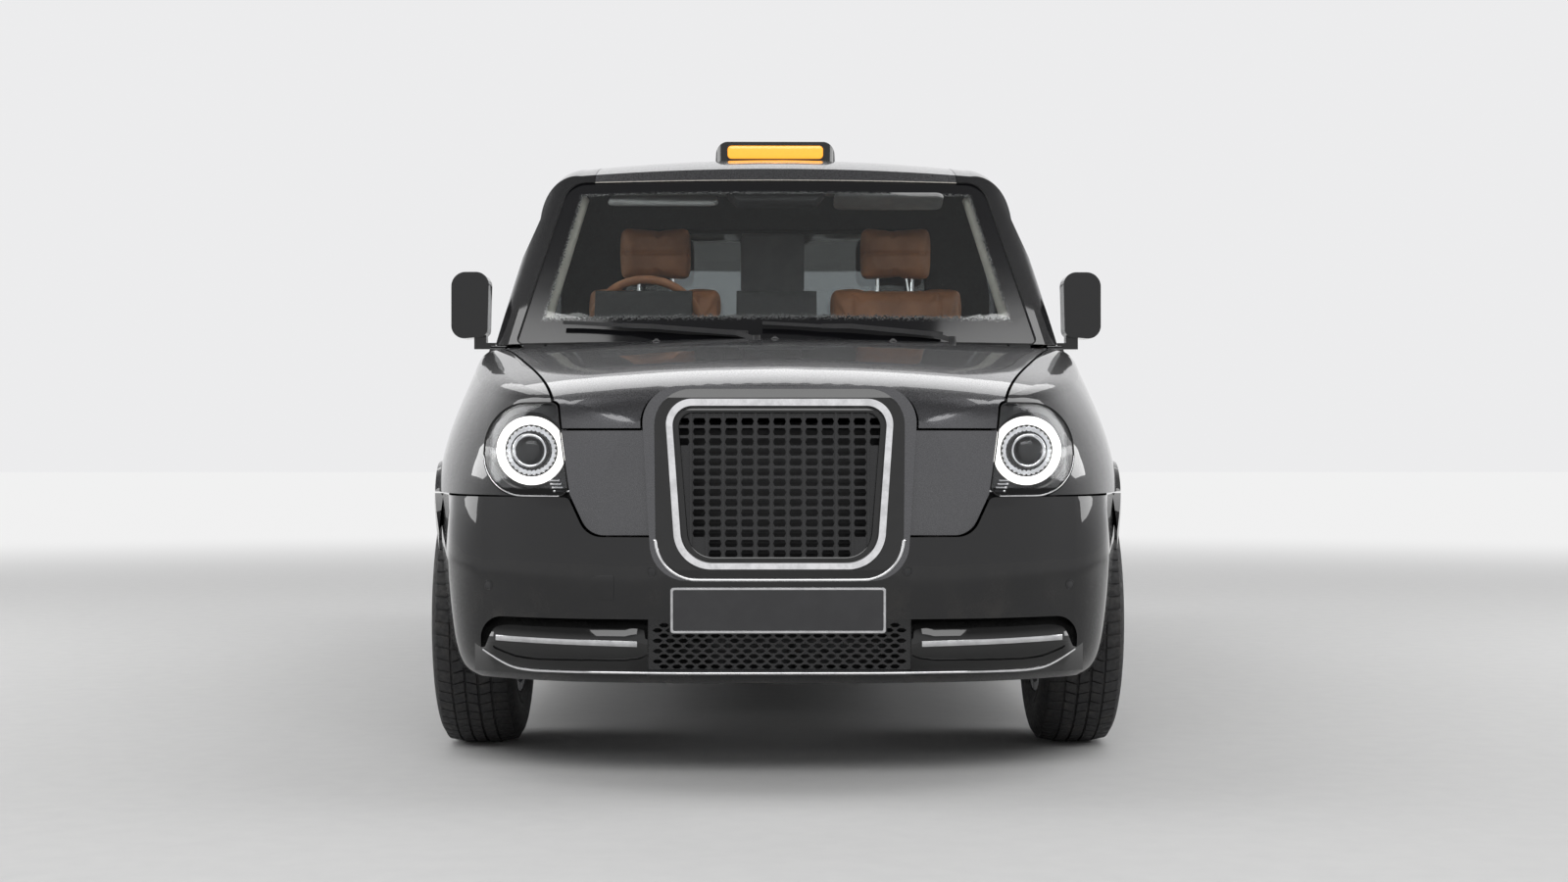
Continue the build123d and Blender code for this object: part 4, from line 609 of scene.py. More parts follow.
@dataclass(frozen=True)
class Metal(Finish):
    """Bare, plated or cast metal."""

    colour: Colour
    rough: float
    grain: float = 0.0
    metal: float = 1.0
    rust: float = 0.0

    def build(self, shade: Shade) -> None:
        """A metal with faint cloudiness, cast grain and, if it has any, rust."""
        cloud = shade.ranged(shade.noise(35.0, 5.0, 0.6), 0.35, 0.7)
        shade.paint("Roughness", shade.ranged(cloud, 0.0, 1.0, self.rough * 0.8, self.rough * 1.3))
        darker = tuple(c * 0.8 for c in self.colour)
        tone = shade.mixed(cloud, self.colour, darker)
        if self.rust:
            spots = shade.ranged(shade.noise(48.0, 8.0, 0.7), 0.52, 0.66, 0.0, self.rust)
            tone = shade.mixed(spots, tone, (0.11, 0.045, 0.018))
        shade.paint("Base Color", tone)
        shade.put(Metallic=self.metal)
        if self.grain:
            shade.bumped(shade.noise(520.0, 4.0), self.grain, 0.7)


@dataclass(frozen=True)
class Glass(Finish):
    """Clear or tinted glass."""

    tint: Colour
    ior: float = 1.45

    def build(self, shade: Shade) -> None:
        """Clear glass with a faint film of dust."""
        film = shade.ranged(shade.noise(14.0, 5.0, 0.6), 0.4, 0.8, 0.0, 0.035)
        shade.paint("Roughness", film)
        greyer = shade.ranged(shade.noise(3.0), 0.3, 0.7, 0.0, 0.08)
        shade.paint("Base Color", shade.mixed(greyer, self.tint, (0.9, 0.92, 0.92)))
        shade.put(Transmission_Weight=1.0, IOR=self.ior)


@dataclass(frozen=True)
class LampCover(Glass):
    """Lamp glass with a smoked band along its foot and its outer edge."""

    foot_z: float = 0.0
    outer_x: float = 1.0

    def build(self, shade: Shade) -> None:
        """Clear glass that turns dark below a height and past a distance from the middle line."""
        super().build(shade)
        low = shade.ranged(shade.part("Z"), self.foot_z + 0.003, self.foot_z - 0.003)
        out = shade.ranged(shade.sum("ABSOLUTE", shade.part("X")), self.outer_x - 0.003, self.outer_x + 0.003)
        band = shade.sum("MAXIMUM", low, out)
        shade.paint("Base Color", shade.mixed(band, self.tint, (0.05, 0.05, 0.055)))


@dataclass(frozen=True)
class Screen(Finish):
    """Window glass with a black enamel border that fades in dots, inside a four-sided outline."""

    tint: Colour
    foot_half: float
    head_half: float
    foot_z: float
    head_z: float
    band: float
    foot_band: float
    head_band: float

    def build(self, shade: Shade) -> None:
        """Enamel where the distance to an edge is less than the band."""
        across, up = shade.sum("ABSOLUTE", shade.part("X")), shade.part("Z")
        slope = (self.foot_half - self.head_half) / (self.head_z - self.foot_z)
        edge = shade.sum("SUBTRACT", self.foot_half,
                         shade.sum("MULTIPLY", shade.sum("SUBTRACT", up, self.foot_z), slope))
        side = shade.sum("DIVIDE", shade.sum("SUBTRACT", edge, across), self.band)
        foot = shade.sum("DIVIDE", shade.sum("SUBTRACT", up, self.foot_z), self.foot_band)
        head = shade.sum("DIVIDE", shade.sum("SUBTRACT", self.head_z, up), self.head_band)
        near = shade.sum("MINIMUM", side, shade.sum("MINIMUM", foot, head))
        dots = shade.sum("MULTIPLY", shade.cells(170.0), 0.35)
        clear = shade.ranged(shade.sum("SUBTRACT", near, dots), 0.86, 0.93)
        shade.paint("Base Color", shade.mixed(clear, (0.006, 0.006, 0.007), self.tint))
        shade.paint("Transmission Weight", clear)
        shade.paint("Roughness", shade.ranged(clear, 0.0, 1.0, 0.1, 0.01))
        shade.put(IOR=1.45)


@dataclass(frozen=True)
class Rubber(Finish):
    """Tyre rubber with dust in its grain."""

    colour: Colour = (0.018, 0.018, 0.019)

    def build(self, shade: Shade) -> None:
        """Dull black with browner dust in patches."""
        dust = shade.ranged(shade.noise(26.0, 8.0, 0.7), 0.45, 0.75, 0.0, 0.4)
        shade.paint("Base Color", shade.mixed(dust, self.colour, (0.06, 0.053, 0.045)))
        shade.paint("Roughness", shade.ranged(shade.noise(90.0), 0.3, 0.7, 0.62, 0.82))
        shade.bumped(shade.noise(900.0, 3.0), 0.00012, 0.6)


@dataclass(frozen=True)
class Leather(Finish):
    """Grained leather with soft creases and darker wear."""

    colour: Colour
    rough: float = 0.48

    def build(self, shade: Shade) -> None:
        """Fine cells for the grain, wide noise for its tone and long creases."""
        tone = shade.ranged(shade.noise(7.0, 5.0, 0.6), 0.3, 0.75)
        deep = tuple(c * 0.72 for c in self.colour)
        pale = tuple(min(1.0, c * 1.18) for c in self.colour)
        base = shade.mixed(tone, deep, pale)
        grain = shade.cells(620.0, "DISTANCE_TO_EDGE")
        shade.paint("Base Color", shade.mixed(shade.ranged(grain, 0.0, 0.12, 0.3, 0.0), base, deep))
        shade.paint("Roughness",
                    shade.ranged(shade.noise(60.0, 3.0), 0.3, 0.7, self.rough - 0.08, self.rough + 0.1))
        shade.put(Coat_Weight=0.08, Coat_Roughness=0.3)
        shade.bumped(shade.ranged(grain, 0.0, 0.25), 0.0003, 0.5)
        creases = shade.noise(38.0, 5.0, 0.65, shade.stretched((1.0, 2.6, 1.7)))
        shade.bumped(creases, 0.0012, 0.35)


@dataclass(frozen=True)
class Cloth(Finish):
    """Woven cloth or carpet."""

    colour: Colour
    thread: float
    deep: float

    def build(self, shade: Shade) -> None:
        """Threads across and along, with a melange tone."""
        waves = []
        for axis in "XYZ":
            run = shade.sum("MULTIPLY", shade.part(axis), math.tau / self.thread)
            waves.append(shade.sum("SINE", run))
        weave = shade.sum("ADD", shade.sum("MULTIPLY", waves[0], waves[1]),
                          shade.sum("MULTIPLY", waves[1], waves[2]))
        tone = shade.ranged(shade.noise(180.0, 4.0), 0.3, 0.7)
        pale = tuple(min(1.0, c * 1.7 + 0.01) for c in self.colour)
        shade.paint("Base Color", shade.mixed(tone, self.colour, pale))
        shade.paint("Roughness", shade.ranged(weave, -1.0, 1.0, 0.8, 0.95))
        shade.put(Sheen_Weight=0.3, Sheen_Roughness=0.5)
        shade.bumped(weave, self.deep, 0.5)


@dataclass(frozen=True)
class Lamp(Finish):
    """A lit surface, evenly or through a ribbed lens."""

    colour: Colour
    glow: float
    base: Colour = (0.8, 0.8, 0.8)
    ribs: float = 0.0

    def build(self, shade: Shade) -> None:
        """Light that is a little weaker in patches, so the lens reads as moulded."""
        cloud = shade.ranged(shade.noise(55.0, 3.0), 0.2, 0.8, 0.75, 1.0)
        shade.paint("Base Color", shade.mixed(cloud, tuple(c * 0.8 for c in self.base), self.base))
        shade.paint("Emission Color", shade.mixed(cloud, tuple(c * 0.85 for c in self.colour), self.colour))
        shade.put(Emission_Strength=self.glow, Roughness=0.25, Coat_Weight=0.6, Coat_Roughness=0.05)
        if self.ribs:
            wave = shade.sum("SINE", shade.sum("MULTIPLY", shade.part("X"), math.tau / self.ribs))
            shade.bumped(wave, self.ribs * 0.15, 0.6)


@dataclass(frozen=True)
class LampLens(Finish):
    """Coloured, clear-surfaced lamp plastic with moulded prisms behind."""

    colour: Colour
    prism: float
    clear: float = 0.35

    def build(self, shade: Shade) -> None:
        """A grid of prisms that shows as bump under a smooth coat."""
        across = shade.sum("SINE", shade.sum("MULTIPLY", shade.part("X"), math.tau / self.prism))
        up = shade.sum("SINE", shade.sum("MULTIPLY", shade.part("Z"), math.tau / self.prism))
        grid = shade.sum("MULTIPLY", across, up)
        deep = tuple(c * 0.45 for c in self.colour)
        shade.paint("Base Color", shade.mixed(shade.ranged(grid, -0.6, 0.9), deep, self.colour))
        shade.paint("Roughness", shade.ranged(grid, -1.0, 1.0, 0.12, 0.2))
        shade.put(Coat_Weight=1.0, Coat_Roughness=0.02, Transmission_Weight=self.clear)
        shade.bumped(grid, self.prism * 0.2, 0.5)


BLACK_PAINT = CarPaint("gloss_black_paint", (0.0045, 0.0045, 0.005), (0.03, 0.03, 0.034), 0.35, 0.0)
GREY_PAINT = CarPaint("dark_grey_flake_paint", (0.075, 0.075, 0.08), (0.2, 0.2, 0.21), 0.3, 0.75)
BUMPER_PAINT = CarPaint("gloss_black_bumper_paint", (0.0045, 0.0045, 0.005), (0.02, 0.02, 0.022), 0.2, 0.0)
GLOSS_BLACK = Plastic("piano_black_plastic", (0.006, 0.006, 0.006), 0.08, 0.0, 1.0)
SATIN_BLACK = Plastic("satin_black_plastic", (0.016, 0.016, 0.017), 0.5, 0.00012)
GRILLE_BLACK = Plastic("grille_black_plastic", (0.012, 0.012, 0.013), 0.26, 0.0, 0.5)
SOFT_BLACK = Plastic("soft_touch_dash", (0.02, 0.02, 0.021), 0.62, 0.00025)
PALE_TRIM = Plastic("pale_pillar_trim", (0.50, 0.48, 0.43), 0.6, 0.0002)
GREY_TRIM = Plastic("grey_visor_trim", (0.33, 0.33, 0.33), 0.7, 0.0003)
RUBBER_SEAL = Plastic("rubber_seal", (0.011, 0.011, 0.011), 0.75, 0.00008)
BLANK_PLATE = Plastic("blank_black_plate", (0.03, 0.03, 0.032), 0.4)
DARK_GREY = Plastic("dark_grey_plastic", (0.09, 0.09, 0.092), 0.45, 0.0001)
YELLOW_PLATE = Plastic("blank_rear_plate", (0.62, 0.44, 0.05), 0.3, 0.0, 0.5)
PAPER = Plastic("blank_white_permit", (0.72, 0.78, 0.84), 0.5)
CHROME = Metal("bright_chrome", (0.86, 0.86, 0.87), 0.07)
SATIN_CHROME = Metal("satin_chrome", (0.62, 0.62, 0.63), 0.2)
REFLECTOR = Metal("lamp_reflector", (0.9, 0.9, 0.91), 0.09)
RIM_SILVER = Metal("silver_rim_paint", (0.42, 0.42, 0.44), 0.3, 0.00003, 0.85)
STEEL = Metal("painted_steel", (0.16, 0.16, 0.165), 0.45, 0.00006, 0.8, 0.25)
CAST = Metal("rough_cast_metal", (0.11, 0.11, 0.115), 0.6, 0.0004, 0.7, 0.3)
DISC_STEEL = Metal("brake_disc_steel", (0.45, 0.44, 0.43), 0.28, 0.0, 1.0, 0.15)
MIRROR = Metal("mirror_silver", (0.92, 0.93, 0.94), 0.02)
CLEAR_GLASS = Glass("clear_glass", (0.93, 0.96, 0.95))
LAMP_GLASS = LampCover("lamp_lens_glass", (0.97, 0.98, 0.99), 1.3, 0.714, 0.719)
DARK_LENS = Glass("dark_projector_lens", (0.22, 0.23, 0.26), 1.5)
SIDE_GLASS = Glass("tinted_side_glass", (0.62, 0.66, 0.66))
PRIVACY_GLASS = Glass("dark_rear_glass", (0.16, 0.17, 0.18))
TYRE = Rubber("dusty_tyre_rubber")
TAN_LEATHER = Leather("tan_grained_leather", (0.40, 0.165, 0.07))
BLACK_LEATHER = Leather("black_leather", (0.02, 0.02, 0.021), 0.42)
SEAT_CLOTH = Cloth("dark_seat_cloth", (0.03, 0.03, 0.034), 0.0022, 0.0003)
HEADLINING = Cloth("pale_headlining", (0.42, 0.40, 0.36), 0.0016, 0.0001)
CARPET = Cloth("floor_carpet", (0.018, 0.018, 0.02), 0.003, 0.0012)
LED_WHITE = Lamp("white_light_ring", (1.0, 0.98, 0.94), 1.5)
SIGN_GLOW = Lamp("amber_sign_lens", (1.0, 0.36, 0.02), 1.15, (0.85, 0.32, 0.03))
SCREEN_GLOW = Lamp("dark_display", (0.02, 0.03, 0.05), 0.3, (0.01, 0.01, 0.012))
RED_LENS = LampLens("red_tail_lens", (0.42, 0.008, 0.008), 0.006, 0.3)
AMBER_LENS = LampLens("amber_lens", (0.65, 0.2, 0.01), 0.006, 0.3)
WHITE_LENS = LampLens("white_lens", (0.8, 0.8, 0.8), 0.006, 0.5)


def dress(piece: bpy.types.Object, finish: Finish) -> bpy.types.Object:
    """Gives a piece one finish."""
    piece.data.materials.clear()
    piece.data.materials.append(finish.material())
    return piece


def fit(piece: bpy.types.Object, finish: Finish, body: str) -> bpy.types.Object:
    """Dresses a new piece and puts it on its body."""
    dress(piece, finish)
    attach(piece, body)
    log.info("%s rides on %s", piece.name, body)
    return piece


@dataclass
class Studio:
    """The camera at the photograph's angle, a pale floor and soft light."""

    image_width: float = 1600.0
    focal_pixels: float = 2222.0
    sensor: float = 36.0
    camera_place: Point = (-0.033, -7.648, 0.817)
    camera_up: float = 0.00225
    camera_turn: float = -0.0083
    floor_half: float = 60.0
    pale: float = 0.84

    def build(self) -> None:
        """Makes the camera, the world, the lamps and the floor."""
        bpy.context.scene.view_settings.view_transform = "Standard"
        self.camera()
        self.world()
        self.lamps()
        self.floor()

    def camera(self) -> None:
        """The camera, level, a little to the -X side of the middle line."""
        bpy.ops.object.select_all(action="DESELECT")
        bpy.ops.object.camera_add(location=self.camera_place,
                                  rotation=(math.pi / 2 + self.camera_up, 0, self.camera_turn))
        camera = bpy.context.object
        camera.data.sensor_width = self.sensor
        camera.data.lens = self.sensor * self.focal_pixels / self.image_width
        bpy.context.scene.camera = camera

    def world(self) -> None:
        """A pale horizon that darkens overhead, as the camera, metal and glass see it, over softer light."""
        world = bpy.context.scene.world or bpy.data.worlds.new("world")
        bpy.context.scene.world = world
        world.use_nodes = True
        tree = world.node_tree
        height = tree.nodes.new("ShaderNodeSeparateXYZ")
        tree.links.new(tree.nodes.new("ShaderNodeTexCoord").outputs["Generated"], height.inputs[0])
        # Columns: height of the direction, grey there
        seen = self.ramp(tree, height.outputs["Z"],
                         [(0.0, self.pale), (0.34, self.pale), (0.6, 0.26), (0.9, 0.16)])
        light = self.ramp(tree, height.outputs["Z"], [(0.0, 0.55), (0.12, 0.5), (0.4, 0.3), (0.9, 0.22)])
        mix = tree.nodes.new("ShaderNodeMix")
        mix.data_type = "RGBA"
        tree.links.new(self.looked_at(tree), mix.inputs["Factor"])
        tree.links.new(light, mix.inputs[6])
        tree.links.new(seen, mix.inputs[7])
        tree.links.new(mix.outputs[2], tree.nodes["Background"].inputs["Color"])

    @staticmethod
    def ramp(tree: bpy.types.NodeTree, value: bpy.types.NodeSocket,
             rows: Sequence[tuple[float, float]]) -> bpy.types.NodeSocket:
        """Greys along a value."""
        made = tree.nodes.new("ShaderNodeValToRGB")
        points = made.color_ramp.elements
        while len(points) < len(rows):
            points.new(0.5)
        for point, (place, grey) in zip(points, rows):
            point.position, point.color = place, (grey, grey, grey * 1.01, 1)
        tree.links.new(value, made.inputs["Fac"])
        return made.outputs["Color"]

    @staticmethod
    def looked_at(tree: bpy.types.NodeTree) -> bpy.types.NodeSocket:
        """1 for what the camera sees, also in metal and through glass."""
        path = tree.nodes.new("ShaderNodeLightPath")
        total = path.outputs["Is Camera Ray"]
        for name in ("Is Glossy Ray", "Is Transmission Ray"):
            add = tree.nodes.new("ShaderNodeMath")
            add.operation, add.use_clamp = "ADD", True
            tree.links.new(total, add.inputs[0])
            tree.links.new(path.outputs[name], add.inputs[1])
            total = add.outputs[0]
        return total

    def lamps(self) -> None:
        """Wide area lamps over and beside the car."""
        # Columns: name, place, point aimed at, width, height, power
        rows = [
            ("top_lamp_left", (5.6, 0.4, 6.0), (0.0, -0.3, 0.3), 3.0, 8.0, 210.0),
            ("top_lamp_right", (-5.6, 0.4, 6.0), (0.0, -0.3, 0.3), 3.0, 8.0, 210.0),
            ("front_lamp", (0.0, -8.5, 6.0), (0.0, -1.8, 0.6), 8.0, 3.0, 300.0),
            ("left_lamp", (7.5, -0.5, 2.6), (0.6, 0.0, 0.9), 6.0, 1.4, 130.0),
            ("right_lamp", (-7.5, -0.5, 2.6), (-0.6, 0.0, 0.9), 6.0, 1.4, 130.0),
            ("back_lamp", (0.0, 7.0, 7.5), (0.0, 1.5, 0.6), 11.0, 4.5, 220.0),
        ]
        for name, place, aim, width, height, power in rows:
            bpy.ops.object.select_all(action="DESELECT")
            turn = (Vector(aim) - Vector(place)).to_track_quat("-Z", "Y").to_euler()
            bpy.ops.object.light_add(type="AREA", location=place, rotation=turn)
            lamp = bpy.context.object
            lamp.name = name
            lamp.data.shape = "RECTANGLE"
            lamp.data.size, lamp.data.size_y, lamp.data.energy = width, height, power

    def floor(self) -> None:
        """A wide pale floor with a fine sandy grain."""
        bpy.ops.object.select_all(action="DESELECT")
        bpy.ops.mesh.primitive_plane_add(size=self.floor_half * 2)
        floor = bpy.context.object
        floor.name = "studio_floor"
        shade = Shade("pale_floor")
        far = shade.node("ShaderNodeVectorMath", operation="LENGTH")
        shade.join(shade.where, far.inputs[0])
        away = shade.ranged(far.outputs["Value"], 4.0, 13.0)
        near = shade.mixed(shade.noise(14.0, 6.0), (0.60, 0.60, 0.60), (0.66, 0.66, 0.655))
        far_seen = shade.sum("MULTIPLY", away, self.looked_at(shade.tree))
        shade.paint("Base Color", shade.mixed(far_seen, near, (0.0, 0.0, 0.0)))
        shade.put(Roughness=0.85, Emission_Color=(self.pale,) * 3, Specular_IOR_Level=0.2)
        shade.paint("Emission Strength", far_seen)
        shade.bumped(shade.noise(220.0, 3.0), 0.0006, 0.4)
        floor.data.materials.append(shade.material)


@dataclass
class Bodywork:
    """The finishes of the pieces that keep their CAD shape."""

    def build(self) -> None:
        """Dresses every CAD node."""
        low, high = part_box("windscreen")
        screen = Screen("windscreen_glass", (0.92, 0.95, 0.94), high.x, 0.688, low.z, high.z,
                        band=0.055, foot_band=0.075, head_band=0.045)
        low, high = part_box("tailgate_glass")
        tail = Screen("tailgate_window_glass", (0.16, 0.17, 0.18), high.x, 0.502, low.z, high.z,
                      band=0.04, foot_band=0.05, head_band=0.04)
        # Columns: finish, the CAD nodes that have it
        rows: list[tuple[Finish, tuple[str, ...]]] = [
            (BLACK_PAINT, ("side_frame_left", "side_frame_right", "front_wings", "front_door_left",
                           "front_door_right", "rear_door_left", "rear_door_right", "tailgate")),
            (GREY_PAINT, ("bonnet", "nose_panels", "grille_surround", "roof_panel")),
            (BUMPER_PAINT, ("front_bumper", "rear_bumper", "door_mirror_left", "door_mirror_right")),
            (GRILLE_BLACK, ("grille_mesh", "lower_grille")),
            (GLOSS_BLACK, ("taxi_sign",)),
            (SATIN_BLACK, ("cowl_panel", "wipers", "wheel_arch_liners", "headlights", "battery_pack")),
            (SOFT_BLACK, ("dashboard", "partition")),
            (CHROME, ("grille_ring",)),
            (LAMP_GLASS, ("headlight_lenses",)),
            (RED_LENS, ("tail_lamps",)),
            (screen, ("windscreen",)),
            (tail, ("tailgate_glass",)),
            (SIDE_GLASS, ("front_door_glass_left", "front_door_glass_right")),
            (CLEAR_GLASS, ("partition_glass",)),
            (PRIVACY_GLASS, ("rear_door_glass_left", "rear_door_glass_right", "quarter_windows")),
            (RIM_SILVER, ("front_rim_left", "front_rim_right", "rear_rim_left", "rear_rim_right")),
            (TYRE, ("front_tyre_left", "front_tyre_right", "rear_tyre_left", "rear_tyre_right")),
            (STEEL, ("front_suspension", "front_rails", "rear_axle", "door_hinges")),
            (CAST, ("steering_knuckle_left", "steering_knuckle_right", "engine_block", "drive_unit")),
            (CARPET, ("floor_pan",)),
            (TAN_LEATHER, ("steering_wheel", "front_seats")),
            (SEAT_CLOTH, ("rear_seat",)),
        ]
        for finish, nodes in rows:
            for node in nodes:
                dress(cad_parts[node], finish)
        made = list(Finish.made.values())
        missing = [n for n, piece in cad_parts.items() if piece.data.materials[0] not in made]
        if missing:
            raise ValueError(f"no finish for {missing}")
        log.info("dressed %d CAD nodes", len(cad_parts))


NOSE_Y = -2.4285
FACING_FRONT = Matrix(((1, 0, 0), (0, 0, -1), (0, 1, 0))).to_4x4()
FACING_BACK = Matrix(((-1, 0, 0), (0, 0, 1), (0, 1, 0))).to_4x4()
FRONT_AXLE_Y, REAR_AXLE_Y = -1.5985, 1.3875
WHEEL_X, WHEEL_RADIUS = 0.807, 0.355


def facing(turn: Matrix, place: Point) -> Matrix:
    """A frame turned to the front or the back, at a place."""
    return Matrix.Translation(place) @ turn


def parking_sensor(name: str, node: str, start: Point, direction: Point) -> None:
    """A round parking sensor in a ring, where a straight line meets a bumper."""
    place, normal = land(node, start, direction)
    button = Bench.drum("button", place - normal * 0.003, place + normal * 0.0012, 0.0092, 32, 0.0006)
    ring = Bench.hoop("ring", place + normal * 0.0002, normal, 0.0112, 0.0012, 40, 8)
    fit(Bench.smooth(Bench.join(name, [button, ring])), SATIN_BLACK, "body")


@dataclass
class NoseTrim:
    """Beads, panels, plate and small fittings of the nose."""

    grille_foot_z: float = 0.493
    lean: float = math.radians(5.0)
    mesh_half: float = 0.326

    def build(self) -> None:
        """Makes every piece."""
        self.grille_band()
        self.intake()
        self.plate()
        self.sensors()
        self.tow_cover()
        self.washer_jets()

    def plane(self, out: float) -> Matrix:
        """The grille's own frame, moved out along its normal."""
        up = Vector((0, math.sin(self.lean), math.cos(self.lean)))
        normal = Vector((0, -math.cos(self.lean), math.sin(self.lean)))
        place = Vector((0, NOSE_Y + 0.006, self.grille_foot_z)) + normal * out
        return Matrix.Translation(place) @ Matrix((Axis.X.value, up, normal)).transposed().to_4x4()

    @staticmethod
    def shield(half_top: float, half_foot: float, foot: float, top: float, top_radius: float,
               foot_radius: float) -> list[tuple[float, float]]:
        """The grille's outline: wider at its top, with round corners."""
        corners = [(-half_foot, foot), (half_foot, foot), (half_top, top), (-half_top, top)]
        return rounded(corners, [foot_radius, foot_radius, top_radius, top_radius], 10)

    def grille_band(self) -> None:
        """The gloss black band round the ring, the bevel inside it and the bright bead round its foot."""
        band = Bench.plate("grille_gloss_band", [self.shield(0.304, 0.297, 0.002, 0.464, 0.088, 0.1),
                                                 self.shield(0.279, 0.249, 0.027, 0.439, 0.062, 0.092)],
                           self.plane(-0.0005), 0.003, 0.001)
        fit(Bench.smooth(band), GLOSS_BLACK, "body")
        bevel = Bench.plate("grille_inner_bevel", [self.shield(0.263, 0.234, 0.041, 0.423, 0.049, 0.079),
                                                   self.shield(0.246, 0.217, 0.058, 0.406, 0.034, 0.062)],
                            self.plane(-0.013), 0.010, 0.004)
        fit(Bench.smooth(bevel), GLOSS_BLACK, "body")
        loop = self.shield(0.304, 0.297, 0.002, 0.464, 0.088, 0.1)
        low = [(x, y) for x, y in loop if y < 0.2]
        place = self.plane(0.0025)
        path = [place @ Vector((x, y, 0)) for x, y in [(-0.3022, 0.096), *low, (0.3022, 0.096)]]
        bead = Bench.bead("grille_foot_bead", path, 0.0042, order=3)
        fit(Bench.smooth(bead, 50), CHROME, "body")

    def front_line(self, start: float, end: float, z: float, back: float, steps: int = 9) -> list[Vector]:
        """Points that follow the bumper at a height, set back from it, over a stretch of its width."""
        points = []
        for i in range(steps):
            x = start + (end - start) * i / (steps - 1)
            place, _ = land("front_bumper", (x, -3, 0.42), Axis.Y.value)
            points.append(Vector((x, place.y + back, z)))
        return points

    def intake(self) -> None:
        """The honeycomb of the lower intake, its side panels with bright strips and the bead at its foot."""
        cells = []
        pitch, row_pitch, half, waist = 0.031, 0.0125, 0.0128, 0.0052
        for row in range(9):
            z = 0.284 + row * row_pitch
            shift = pitch / 2 if row % 2 else 0.0
            for column in range(-10, 11):
                x = column * pitch + shift
                if abs(x) + half > self.mesh_half - 0.004:
                    continue
                cells.append([(x - half, z), (x - half * 0.42, z - waist), (x + half * 0.42, z - waist),
                              (x + half, z), (x + half * 0.42, z + waist), (x - half * 0.42, z + waist)])
        outer = [(-self.mesh_half, 0.262), (self.mesh_half, 0.262), (self.mesh_half, 0.406),
                 (-self.mesh_half, 0.406)]
        mesh = dress(Bench.plate("intake_honeycomb", [outer, *cells], facing(FACING_FRONT, (0, -2.379, 0)),
                                 0.008), GRILLE_BLACK)
        parts = [mesh]
        for side in Side:
            line = self.front_line(side.value * 0.318, side.value * 0.752, 0.334, 0.021)
            parts.append(dress(Bench.ribbon(f"intake_panel_{side.word}", line, 0.072, 0.006), GLOSS_BLACK))
        whole = Bench.join("intake_insert", parts)
        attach(whole, "body")
        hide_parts("lower_grille")
        for side in Side:
            line = [point + Vector((0, -0.006, 0.012 - 0.02 * (0.70 - abs(point.x)))) for point in
                    self.front_line(side.value * 0.343, side.value * 0.697, 0.334, 0.021)]
            strip = Bench.ribbon(f"intake_strip_{side.word}", line, 0.007, 0.005, 0.0015)
            fit(Bench.smooth(strip), SATIN_CHROME, "body")
        foot = [point + Vector((0, 0, dz)) for point, dz in zip(
            self.front_line(-0.728, 0.728, 0.272, -0.001, 25), [0.045, 0.008] + [0.0] * 21 + [0.008, 0.045])]
        fit(Bench.smooth(Bench.bead("intake_foot_bead", foot, 0.0035), 50), CHROME, "body")

    def plate(self) -> None:
        """The blank plate on its plinth, with a thin raised border."""
        centre = Vector((-0.0035, -2.4265, 0.4225))
        plinth = Bench.block("plate_plinth", centre + Vector((-0.235, 0.001, -0.045)),
                             centre + Vector((0.235, 0.03, 0.045)), 0.003)
        fit(plinth, SATIN_BLACK, "body")
        board = Bench.plate("front_plate_blank", [oblong(0.520, 0.113, 0.008)],
                            facing(FACING_FRONT, centre + Vector((0, 0.0015, 0))), 0.003, 0.0006)
        rim = Bench.plate("plate_rim", [oblong(0.516, 0.109, 0.007), oblong(0.505, 0.098, 0.005)],
                          facing(FACING_FRONT, centre + Vector((0, -0.0012, 0))), 0.0012, 0.0004)
        fit(board, BLANK_PLATE, "body")
        fit(rim, SATIN_CHROME, "body")

    def sensors(self) -> None:
        """Four round parking sensors."""
        for side in Side:
            for count, (x, z) in enumerate([(0.307, 0.515), (0.715, 0.476)]):
                name = f"front_sensor_{side.word}_{count + 1}"
                parking_sensor(name, "front_bumper", (side.value * x, -3, z), Axis.Y.value)

    def tow_cover(self) -> None:
        """The square cover over the towing eye, with its lower outer corner cut off."""
        place, normal = land("front_bumper", (-0.426, -3, 0.475), Axis.Y.value)
        frame_there = turned(place - normal * 0.0015, normal)
        corners = [(-0.011, -0.029), (0.027, -0.029), (0.027, 0.029), (-0.027, 0.029), (-0.027, -0.013)]
        cover = Bench.plate("tow_eye_cover", [rounded(corners, [0.002] * 5, 4)], frame_there, 0.0028, 0.0007)
        fit(Bench.smooth(cover), BUMPER_PAINT, "body")

    def washer_jets(self) -> None:
        """Three screen washer jets near the back of the bonnet."""
        for count, x in enumerate((-0.350, -0.007, 0.335)):
            place, normal = land("bonnet", (x, -1.345, 2), (0, 0, -1))
            foot = Bench.dome("foot", place, (0.011, 0.015, 0.005))
            nozzle = Bench.block("nozzle", place + Vector((-0.005, -0.002, 0.001)),
                                 place + Vector((0.005, 0.008, 0.0085)), 0.002)
            fit(Bench.smooth(Bench.join(f"washer_jet_{count + 1}", [foot, nozzle])), SATIN_BLACK, "bonnet")


